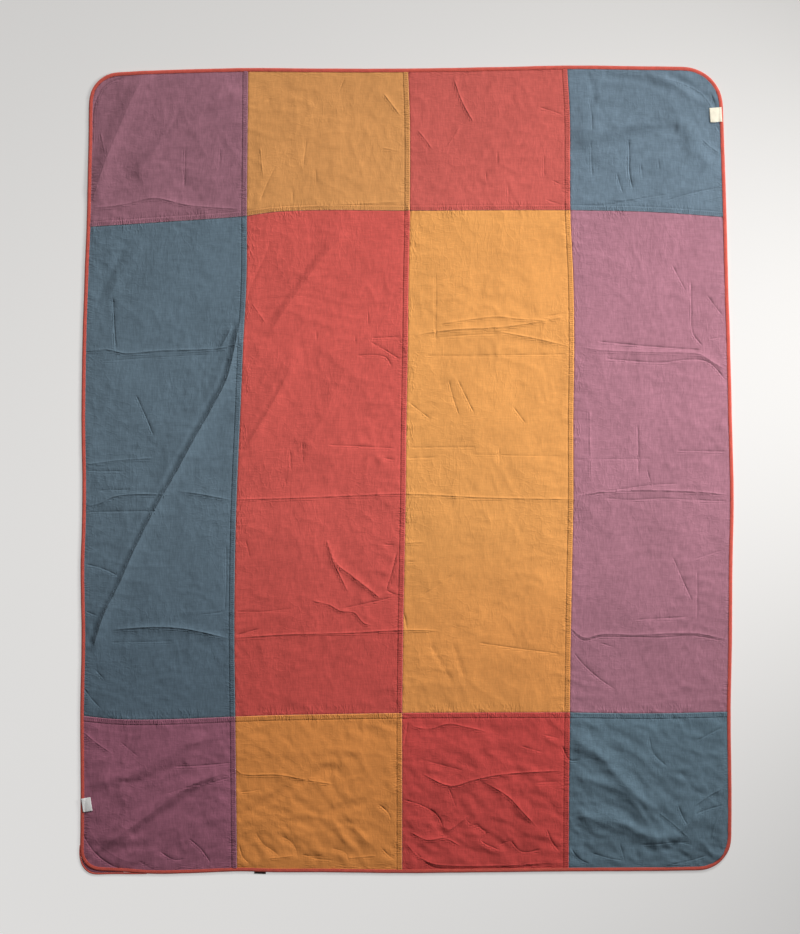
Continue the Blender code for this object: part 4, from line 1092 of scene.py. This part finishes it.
def make_panel(panel):
    """One panel: a thin sheet over the solid's folds, with its creases, bands and puckers."""
    kinds = side_kinds(panel)
    in_left, in_right, in_foot, in_head = [RIM_INSET if kind == "rim" else PIECE_GAP / 2 for kind in kinds]
    middle_x = (upright_at(panel.column, 0.0) + upright_at(panel.column + 1, 0.0)) / 2
    foot_y, head_y = level_at(panel.row, middle_x), level_at(panel.row + 1, middle_x)
    middle_y = (foot_y + head_y) / 2
    width = upright_at(panel.column + 1, middle_y) - upright_at(panel.column, middle_y)
    width -= in_left + in_right
    tall = head_y - foot_y - in_foot - in_head
    across = grid_lines(width, panel.left, panel.right)
    up = grid_lines(tall, panel.foot, panel.head)
    facts = {}

    def place(column, row, on_top):
        y = foot_y + up[row]
        for _ in range(GRID_ROUNDS):
            left = upright_at(panel.column, y) + in_left
            right = upright_at(panel.column + 1, y) - in_right
            x = left + spread_to(across, column, panel.left, panel.right, right - left)
            foot = level_at(panel.row, x) + in_foot
            head = level_at(panel.row + 1, x) - in_head
            y = foot + spread_to(up, row, panel.foot, panel.head, head - foot)
        x, y = rounded_corner(panel, x, y)
        under = lift(x, y) + relief(panel, x, y)
        z = np.where(on_top, np.maximum(under + CLOTH_THICKNESS, LEAST_THICKNESS), np.maximum(under, 0))
        facts.update(distances=side_distances(panel, x, y), sharp=creased(x, y)[1:], tint=tint_with_foot_shade(panel, y))
        from_left, _, from_foot, _ = facts["distances"]
        return (x + SHIFT[0], y + SHIFT[1], z), (from_left, from_foot)

    mesh = grid(f"cloth_{panel.name}", len(across) - 1, len(up) - 1, place, thick=True)
    far = np.full(len(mesh.vertices), FAR)

    def nearest(kind, sides=(0, 1, 2, 3)):
        """How far each place is from the nearest of some sides that are of one kind."""
        return np.min([far, *[facts["distances"][k] for k in sides if kinds[k] == kind]], axis=0)

    seams = (nearest("band", (0, 1)), nearest("band", (2, 3)), nearest("plain"), nearest("rim"))
    mark_cloth(mesh, seams, facts["sharp"], facts["tint"].T)
    return piece(f"cloth_{panel.name}", mesh, panel.colour, f"panel_{panel.name}"), (width, tall)


def closed(mesh):
    """Joins a wrapped grid's meeting sides and turns its faces out."""
    builder = bmesh.new()
    builder.from_mesh(mesh)
    bmesh.ops.remove_doubles(builder, verts=builder.verts[:], dist=JOINED_WITHIN)
    bmesh.ops.recalc_face_normals(builder, faces=builder.faces[:])
    return finished(builder, mesh)


def binding_station(station):
    """The outer side, the outward direction and the base height at points of the edge."""
    i = station % len(EDGE)
    along, out = EDGE_ALONG[i], EDGE_OUT[i]
    wave = BINDING_WAVE * ripples(along, WAVE_CELLS, WAVE_SHARE, WAVE_SEED)
    outer = EDGE[i] + out * wave[:, None]
    middle = EDGE[i] - out * BINDING_WIDTH / 2
    return outer, out, lift(middle[:, 0], middle[:, 1]), along


def make_binding():
    """The rounded strip that is folded over the edge and sewn down."""
    section = np.array(BINDING_SECTION) * MM
    girth = run_of(round_trip(section))

    def place(station, side, _):
        outer, out, base, along = binding_station(station)
        inward, height = section[side % len(section)].T
        swell = 1 + BINDING_SWELL * ripples(along, SWELL_CELLS, SWELL_SHARE, SWELL_SEED)
        x, y = outer[:, 0] - out[:, 0] * inward, outer[:, 1] - out[:, 1] * inward
        return (x + SHIFT[0], y + SHIFT[1], base + height * swell), (EDGE_ALONG[station], girth[side])

    mesh = closed(grid("binding_strip", len(EDGE), len(BINDING_SECTION), place))
    return piece("binding_strip", mesh, "coral", "binding")


def make_strip(name, slot, node, inner, outer):
    """A thin strip on the ground between two lines of points, higher along its middle."""
    strip = STRIPS[name]
    run, across = run_of(inner), outer - inner

    def place(station, side, on_top):
        share = side / STRIP_STEPS
        x, y = (inner[station] + across[station] * share[:, None]).T
        crown = 1 - strip.drop * (2 * share - 1) ** 4
        z = np.where(on_top, strip.height * crown, 0.0)
        return (x + SHIFT[0], y + SHIFT[1], z), (run[station], share * np.hypot(*across[station].T))

    return piece(name, grid(name, len(inner) - 1, STRIP_STEPS, place, thick=True), slot, node)


def make_corner_peep():
    """The strip of the back that shows under the foot left corner, and its edging."""
    count = len(EDGE)
    first = max(i for i in range(count) if EDGE[i, 0] < 0 and EDGE[i, 1] > PEEP_FROM_Y * CM)
    last = min(i for i in range(count) if EDGE[i, 0] > PEEP_TO_X * CM)
    order = np.array([*range(first, count), *range(last + 1)])
    line, out = EDGE[order], EDGE_OUT[order]
    along = run_of(line)
    shares = [row.share for row in CORNER_PEEP]
    reach = curve(shares, [row.reach * MM for row in CORNER_PEEP], along / along[-1])
    edging = curve(shares, [row.edging * MM for row in CORNER_PEEP], along / along[-1])
    inner = np.maximum(reach - edging, PIECE_GAP)
    shows = inner - 2 * PIECE_GAP > PEEP_LEAST
    rim = make_strip("corner_edging_strip", "coral", "corner_back_edging",
                     line + out * inner[:, None], line + out * reach[:, None])
    sliver = make_strip("corner_back_strip", "mauve", "corner_back",
                        (line + out * PIECE_GAP)[shows], (line + out * (inner - PIECE_GAP)[:, None])[shows])
    mark_cloth(sliver.data, (FAR, FAR, FAR, FAR), (FAR, 0.0), PANEL_TINTS[0][0])
    return [rim, sliver]


def surface_tree(obj):
    """An object's faces, ready for finding what lies under a point."""
    corners = [corner.co for corner in obj.data.vertices]
    return BVHTree.FromPolygons(corners, [tuple(face.vertices) for face in obj.data.polygons])


def tops(trees, x, y):
    """The highest surface at each of some places."""
    found = []
    for px, py in zip(x, y):
        hits = [tree.ray_cast(Vector((px, py, 1.0)), Vector((0.0, 0.0, -1.0)))[0] for tree in trees]
        found.append(max([hit.z for hit in hits if hit is not None], default=0.0))
    return np.array(found)


def make_label(label, below):
    """A woven label that lies over its panel and over the binding that holds it."""
    turn = math.radians(label.turn)
    trees = [surface_tree(obj) for obj in below]
    steps_x, steps_y = LABEL_STEPS

    def place(column, row, on_top):
        across = (column / steps_x - 0.5) * label.wide * CM
        up = (row / steps_y - 0.5) * label.tall * CM
        x = label.x * CM + across * math.cos(turn) - up * math.sin(turn) + SHIFT[0]
        y = label.y * CM + across * math.sin(turn) + up * math.cos(turn) + SHIFT[1]
        feel = (-LABEL_FEEL, 0.0, LABEL_FEEL)
        under = np.max([tops(trees, x + dx, y + dy) for dx in feel for dy in feel], axis=0) + PIECE_GAP
        wave = LABEL_WAVE * (1 + noise(x / LABEL_WAVE_ACROSS, y / LABEL_WAVE_UP, LABEL_SEED))
        z = under + wave + np.where(on_top, LABEL_THICKNESS, 0)
        return (x, y, z), (across, up)

    mesh = grid(label.name, steps_x, steps_y, place, thick=True)
    obj = piece(label.name, mesh, label.slot, label.node)


def make_tab():
    """The end of a tab that peeks out from under the foot edge."""
    x = np.linspace(-0.5, 0.5, TAB_STATIONS) * TAB_WIDE * CM + TAB_X * CM
    inner = np.column_stack([x, level_at(0, x) - PIECE_GAP])
    return make_strip("tab_end", "brown", "tab", inner, inner - np.array([0, TAB_SHOWS]))


def make_stitches(name, slot, places, runs):
    """One piece with a short thread stitch at each place, laid along its run."""
    count = len(places)
    builder = bmesh.new()
    bmesh.ops.create_icosphere(builder, subdivisions=1, radius=1.0)
    shape = np.array([v.co[:] for v in builder.verts]) * STITCH_SIZE
    while len(builder.verts) < count * len(shape):
        bmesh.ops.duplicate(builder, geom=builder.verts[:] + builder.edges[:] + builder.faces[:])
    builder.verts.ensure_lookup_table()
    bmesh.ops.delete(builder, geom=builder.verts[count * len(shape):], context="VERTS")
    mesh = finished(builder, bpy.data.meshes.new(name))
    side = np.column_stack([-runs[:, 1], runs[:, 0]])
    spots, runs, side = (np.repeat(rows, len(shape), axis=0) for rows in (places, runs, side))
    part = np.tile(shape, (count, 1))
    spots[:, :2] += runs * part[:, :1] + side * part[:, 1:2] + SHIFT
    spots[:, 2] += part[:, 2]
    mesh.vertices.foreach_set("co", spots.ravel())
    mesh.shade_smooth()
    mesh.update()
    return piece(name, mesh, slot)


def needle_lines(panel, needle):
    """Where one needle's lines run inside a panel's bands, with a place for each stitch."""
    lines = []
    if panel.right == "band":
        ends = level_at(panel.row, 0.0) - SEAM_SPARE, level_at(panel.row + 1, 0.0) + SEAM_SPARE
        y = np.arange(*ends, STITCH_PITCH)
        lines.append((upright_at(panel.column + 1, y) - needle, y))
    if "band" in (panel.foot, panel.head):
        ends = upright_at(panel.column, 0.0) - SEAM_SPARE, upright_at(panel.column + 1, 0.0) + SEAM_SPARE
        x = np.arange(*ends, STITCH_PITCH)
        edge, inward = (panel.row, 1) if panel.foot == "band" else (panel.row + 1, -1)
        lines.append((x, level_at(edge, x) + inward * needle))
    return lines


def seam_stitches(made):
    """The twin needle lines along every band, one piece for each thread colour."""
    groups = {}
    for panel in made:
        for x, y in [line for needle in NEEDLE_LINES for line in needle_lines(panel, needle)]:
            inside = np.min(side_distances(panel, x, y), axis=0) > STITCH_INSIDE
            inside &= from_edge(x, y) > BINDING_WIDTH + STITCH_FROM_BINDING
            run = np.column_stack([np.gradient(x), np.gradient(y)])
            run /= np.hypot(*run.T)[:, None]
            z = lift(x, y) + CLOTH_THICKNESS + relief(panel, x, y) + STITCH_STANDS
            groups.setdefault(panel.colour, []).append((np.column_stack([x, y, z])[inside], run[inside]))
    return [make_stitches(f"stitches_{colour}", f"thread_{colour}", *map(np.concatenate, zip(*parts)))
            for colour, parts in groups.items()]


def binding_stitches():
    """The one line of stitches that holds the binding down, in its inner groove."""
    marks = np.arange(0, EDGE_ALONG[-1], STITCH_PITCH)
    outer, out, base, _ = binding_station(np.arange(len(EDGE) + 1))
    needle = outer - out * BINDING_NEEDLE_LINE
    x, y, z, out_x, out_y = (np.interp(marks, EDGE_ALONG, values) for values in (*needle.T, base, *out.T))
    runs = np.column_stack([-out_y, out_x])
    runs /= np.hypot(*runs.T)[:, None]
    places = np.column_stack([x, y, z + BINDING_NEEDLE_HEIGHT])
    return make_stitches("stitches_coral", "thread_coral", places, runs)


class Value:
    """A number that varies over a surface: a sum on it adds a Math node."""

    def __init__(self, finish, socket):
        self.finish = finish
        self.socket = socket

    def __add__(self, other):
        return self.finish.math("ADD", self, other)

    def __sub__(self, other):
        return self.finish.math("SUBTRACT", self, other)

    def __rsub__(self, other):
        return self.finish.math("SUBTRACT", other, self)

    def __mul__(self, other):
        return self.finish.math("MULTIPLY", self, other)

    __radd__ = __add__
    __rmul__ = __mul__


class Finish:
    """A material whose nodes are added one call at a time."""

    def __init__(self, name, roughness, sheen=0.0):
        self.material = bpy.data.materials.new(name)
        self.material.use_nodes = True
        self.tree = self.material.node_tree
        self.surface = self.tree.nodes["Principled BSDF"]
        self.feed(self.surface, {"Roughness": roughness, "Metallic": 0.0, "Sheen Weight": sheen,
                                 "Sheen Roughness": SHEEN_ROUGHNESS, "Specular IOR Level": SPECULAR})

    def feed(self, node, sockets):
        """Sets a node's sockets from values or plain numbers."""
        for name, value in sockets.items():
            if isinstance(value, Value):
                self.tree.links.new(value.socket, node.inputs[name])
            else:
                node.inputs[name].default_value = value

    def node(self, kind, settings, sockets, output=0):
        """A new node's output, named or numbered, once it is set and fed."""
        node = self.tree.nodes.new(kind)
        for name, value in settings.items():
            setattr(node, name, value)
        self.feed(node, sockets)
        return Value(self, node.outputs[output])

    def flat(self):
        """Places on the flat cloth."""
        return self.node("ShaderNodeUVMap", {"uv_map": "cloth"}, {})

    def whole(self):
        """Places in the whole scene."""
        return self.node("ShaderNodeTexCoord", {}, {}, "Object")

    def marked(self, attribute, output):
        """What mark_cloth wrote on the mesh, as a Color, a Vector or a Fac."""
        return self.node("ShaderNodeAttribute", {"attribute_name": attribute}, {}, output)

    def split(self, vector):
        """The three numbers of a vector."""
        node = self.tree.nodes.new("ShaderNodeSeparateXYZ")
        self.tree.links.new(vector.socket, node.inputs[0])
        return [Value(self, socket) for socket in node.outputs]

    def between(self, value, low, high):
        """0 at low and 1 at high, eased."""
        return self.node("ShaderNodeMapRange", {"interpolation_type": "SMOOTHSTEP"},
                         {"Value": value, "From Min": low, "From Max": high})

    def math(self, operation, first, second=0.0, clamp=False):
        """A sum on values or plain numbers, kept from 0 to 1 where it is clamped."""
        return self.node("ShaderNodeMath", {"operation": operation, "use_clamp": clamp},
                         {0: first, 1: second})

    def size(self, value):
        """The value without its sign."""
        return self.math("ABSOLUTE", value)

    def kept(self, value, reach):
        """The value kept within a reach of 0."""
        return self.math("MINIMUM", self.math("MAXIMUM", value, -reach), reach)

    def line(self, away, at, width):
        """1 on a line at a distance from a seam, 0 past its width."""
        return self.between(self.size(away - at), width, 0.2 * width)

    def ticks(self, along):
        """The pull of each stitch along a needle line."""
        return 0.5 + 0.5 * self.math("SINE", along * (2 * math.pi / STITCH_PITCH))

    def grain(self, places, per_metre, detail, seed):
        """Noise with so many cells to the metre along each way."""
        placed_at = self.node("ShaderNodeMapping", {}, {
            "Vector": places, "Scale": (*per_metre, 1.0), "Location": (seed, seed, 0.0)})
        return self.node("ShaderNodeTexNoise", {}, {"Vector": placed_at, "Scale": 1.0, "Detail": detail})

    def fine_lines(self, kind, places, per_metre, seed):
        """Thin raised lines in patches."""
        wave = self.size(self.grain(places, per_metre, 1.0, seed) - 0.5)
        spread = self.grain(places, (kind.patches, kind.patches), 1.0, seed + 1)
        patch = self.between(spread, kind.patch_from, kind.patch_full)
        return kind.rise * (kind.least + patch) * self.between(wave, kind.wide, 0.0)

    def blend(self, factor, first, second, way="MIX"):
        """One colour where the factor is 0, another, or their blend in some way, where it is 1."""
        return self.node("ShaderNodeMix", {"data_type": "RGBA", "blend_type": way},
                         {0: factor, 6: first, 7: second}, 2)


def tinted(colour, share, paler=0.0):
    """A colour made darker or lighter by a share, and then paler by an amount."""
    return (*[min(1.0, part * share + paler) for part in colour], 1.0)


def cotton_finish(name, colour, slub):
    """Washed slubby cotton: streaked both ways and worn pale on the seams, with painted shade in their
    grooves, ditches and needle lines, and at a long panel's foot end.
    """
    finish = Finish(name, COTTON_ROUGHNESS, CLOTH_SHEEN)
    flat = finish.flat()
    slub_up, slub_across, mottle = [finish.grain(flat, *grain) for grain in (SLUB_UP, SLUB_ACROSS, MOTTLE)]
    wash = finish.grain(finish.whole(), *WASH)
    up, across, spots, washed = SHADE_SHOWS
    tone = 0.5 + slub * (up * (slub_up - 0.5) + across * (slub_across - 0.5) + spots * (mottle - 0.5))
    tone = tone + washed * (wash - 0.5)
    cloth = finish.blend(tone, tinted(colour, DARK_GRAIN), tinted(colour, PALE_GRAIN))

    upright, level, plain = finish.split(finish.marked("seams", "Vector"))
    along_x, along_y = finish.split(flat)[:2]
    groove = finish.line(upright, GROOVE_AT, UPRIGHT_GROOVE) + finish.line(level, GROOVE_AT, LEVEL_GROOVE)
    pulled = finish.line(upright, PULLED_AT, PULLED_REACH) * finish.ticks(along_y)
    pulled = pulled + finish.line(level, PULLED_AT, PULLED_REACH) * finish.ticks(along_x)
    ditch = finish.between(plain, *DITCH)
    in_groove, in_pull, in_ditch = PAINTED_SHADE_SHOWS
    # Painted shade: the cloth is darkened in the bands' grooves, at each stitch's pull along the needle
    # lines, and in the plain seams' ditches
    painted_shade = finish.math("ADD", in_groove * groove, in_pull * pulled, clamp=True)
    painted_shade = finish.math("MAXIMUM", painted_shade, in_ditch * ditch)
    cloth = finish.blend(painted_shade, cloth, tinted(colour, SEAM_PAINTED_SHADE))
    worn = finish.between(upright, *UPRIGHT_WORN) + finish.between(level, *LEVEL_WORN)
    cloth = finish.blend(WORN_SHOWS * worn, cloth, tinted(colour, *WORN_SEAM))
    # The panel's tint, with the painted shade that darkens a long panel's foot end
    cloth = finish.blend(1.0, cloth, finish.marked("tint", "Color"), "MULTIPLY")

    off, rise = finish.split(finish.marked("creases", "Vector"))[:2]
    slope = finish.math("SUBTRACT", 1.0, finish.size(off) * (1 / SHARP_WIDTH), clamp=True)
    one_way, other_way = (finish.fine_lines(WRINKLE_LINES, flat, *run) for run in WRINKLE_RUNS)
    rim = finish.marked("rim", "Fac")
    by_upright = finish.between(finish.math("MINIMUM", upright, rim), *PUCKERED)
    by_level = finish.between(finish.math("MINIMUM", level, plain), *PUCKERED)
    gathers = by_upright * finish.fine_lines(GATHER_LINES, flat, *UPRIGHT_GATHERS)
    gathers = gathers + by_level * finish.fine_lines(GATHER_LINES, flat, *LEVEL_GATHERS)
    up, across, spots, drawn_in = PILE_SHOWS
    pile = up * slub_up + across * slub_across + spots * mottle - drawn_in * pulled
    height = rise * slope * slope + one_way + other_way + gathers + pile
    normal = finish.node("ShaderNodeBump", {}, {"Strength": 1.0, "Distance": MM, "Height": height})
    finish.feed(finish.surface, {"Base Color": cloth, "Normal": normal})
    return finish.material


def tape_finish(name, tape):
    """A woven tape: fine ribs one way, and a little unevenness."""
    finish = Finish(name, tape.roughness, CLOTH_SHEEN)
    flat, colour = finish.flat(), COLOURS[name]
    ribs = finish.grain(flat, *tape.ribs)
    mottle = finish.grain(flat, *TAPE_MOTTLE)
    tone = 0.5 + tape.contrast * (ribs - 0.5) + tape.contrast * (mottle - 0.5)
    height = ribs + 0.5 * mottle
    normal = finish.node("ShaderNodeBump", {}, {
        "Strength": TAPE_BUMP, "Distance": TAPE_DEPTH, "Height": height})
    cloth = finish.blend(tone, tinted(colour, TAPE_DARK), tinted(colour, TAPE_PALE))
    finish.feed(finish.surface, {"Base Color": cloth, "Normal": normal})
    return finish.material


def thread_finish(name, colour):
    """Sewing thread: twisted, a little shinier than the cloth, and painted paler than it to make up for the
    stitches' own shade.
    """
    finish = Finish(name, THREAD_ROUGHNESS, THREAD_SHEEN)
    twist = finish.grain(finish.whole(), *TWIST)
    thread = finish.blend(twist, tinted(colour, THREAD_DARK), tinted(colour, THREAD_PALE))
    finish.feed(finish.surface, {"Base Color": thread})
    return finish.material


def make_finishes():
    """Every slot's material, and the threads."""
    made = {name: cotton_finish(name, COLOURS[name], share) for name, share in SLUB_SHOWS.items()}
    made.update({name: tape_finish(name, tape) for name, tape in TAPES.items()})
    for name in (*SLUB_SHOWS, "coral"):
        made[f"thread_{name}"] = thread_finish(f"thread_{name}", COLOURS[name])
    return made


FINISHES = make_finishes()


def make_blanket():
    """Every piece of the blanket: its panels, binding, labels, corner strips, tab and stitches."""
    found = panels()
    made = {panel.name: make_panel(panel) for panel in found}
    binding = make_binding()
    for label in LABELS:
        make_label(label, [bpy.data.objects[label.panel], binding])
    peep = make_corner_peep()
    tab = make_tab()
    threads = seam_stitches(found) + [binding_stitches()]
    for name, (obj, size) in made.items():
        flat = tuple(float(side + 2 * SEAM_ALLOWANCE) for side in size)


def make_floor():
    """A plain pale floor with painted light: it glows a little by itself, most towards the left and the foot.
    """
    builder = bmesh.new()
    bmesh.ops.create_grid(builder, x_segments=1, y_segments=1, size=FLOOR_REACH)
    floor = placed("floor", finished(builder, bpy.data.meshes.new("floor")))
    paper = Finish("floor_paper", PAPER_ROUGHNESS)
    x, y = paper.split(paper.whole())[:2]
    # Painted light: the floor's own glow, which fades towards the right and the head
    lost = [glow * paper.kept(place, GLOW_REACH) for glow, place in zip(GLOW_LOST, (x, y))]
    glow = FLOOR_GLOW - lost[0] - lost[1]
    parts = {name: share * glow for name, share in GLOW_TINT.items()}
    painted_glow = paper.node("ShaderNodeCombineColor", {}, parts)
    paper.feed(paper.surface, {"Base Color": FLOOR_COLOUR, "Emission Color": painted_glow, "Emission Strength": 1.0})
    floor.data.materials.append(paper.material)


def make_camera_and_light():
    """A camera straight above, a soft window light on the right and a softer lamp past the head."""
    scene = bpy.context.scene
    camera = placed("camera", bpy.data.cameras.new("camera"))
    camera.location = (PICTURE_MIDDLE[0] + SHIFT[0], PICTURE_MIDDLE[1] + SHIFT[1], CAMERA_HEIGHT)
    camera.data.sensor_width = CAMERA_SENSOR
    camera.data.lens = CAMERA_SENSOR * CAMERA_HEIGHT / PICTURE_TALL
    scene.camera = camera

    for lamp in LAMPS:
        light = placed(lamp.name, bpy.data.lights.new(lamp.name, "AREA"))
        light.location = lamp.place
        light.rotation_mode = "QUATERNION"
        light.rotation_quaternion = (Vector(lamp.place) - Vector(lamp.aim)).to_track_quat("Z", "Y")
        light.data.shape = "DISK"
        light.data.size = lamp.size
        light.data.energy = lamp.power
        light.data.spread = lamp.beam
        light.data.color = LAMP_COLOUR

    world = bpy.data.worlds.new("sky")
    world.use_nodes = True
    sky = world.node_tree.nodes["Background"]
    sky.inputs["Color"].default_value = SKY_COLOUR
    sky.inputs["Strength"].default_value = SKY_STRENGTH
    scene.world = world
    scene.view_settings.view_transform = "Standard"


make_camera_and_light()
make_floor()
make_blanket()
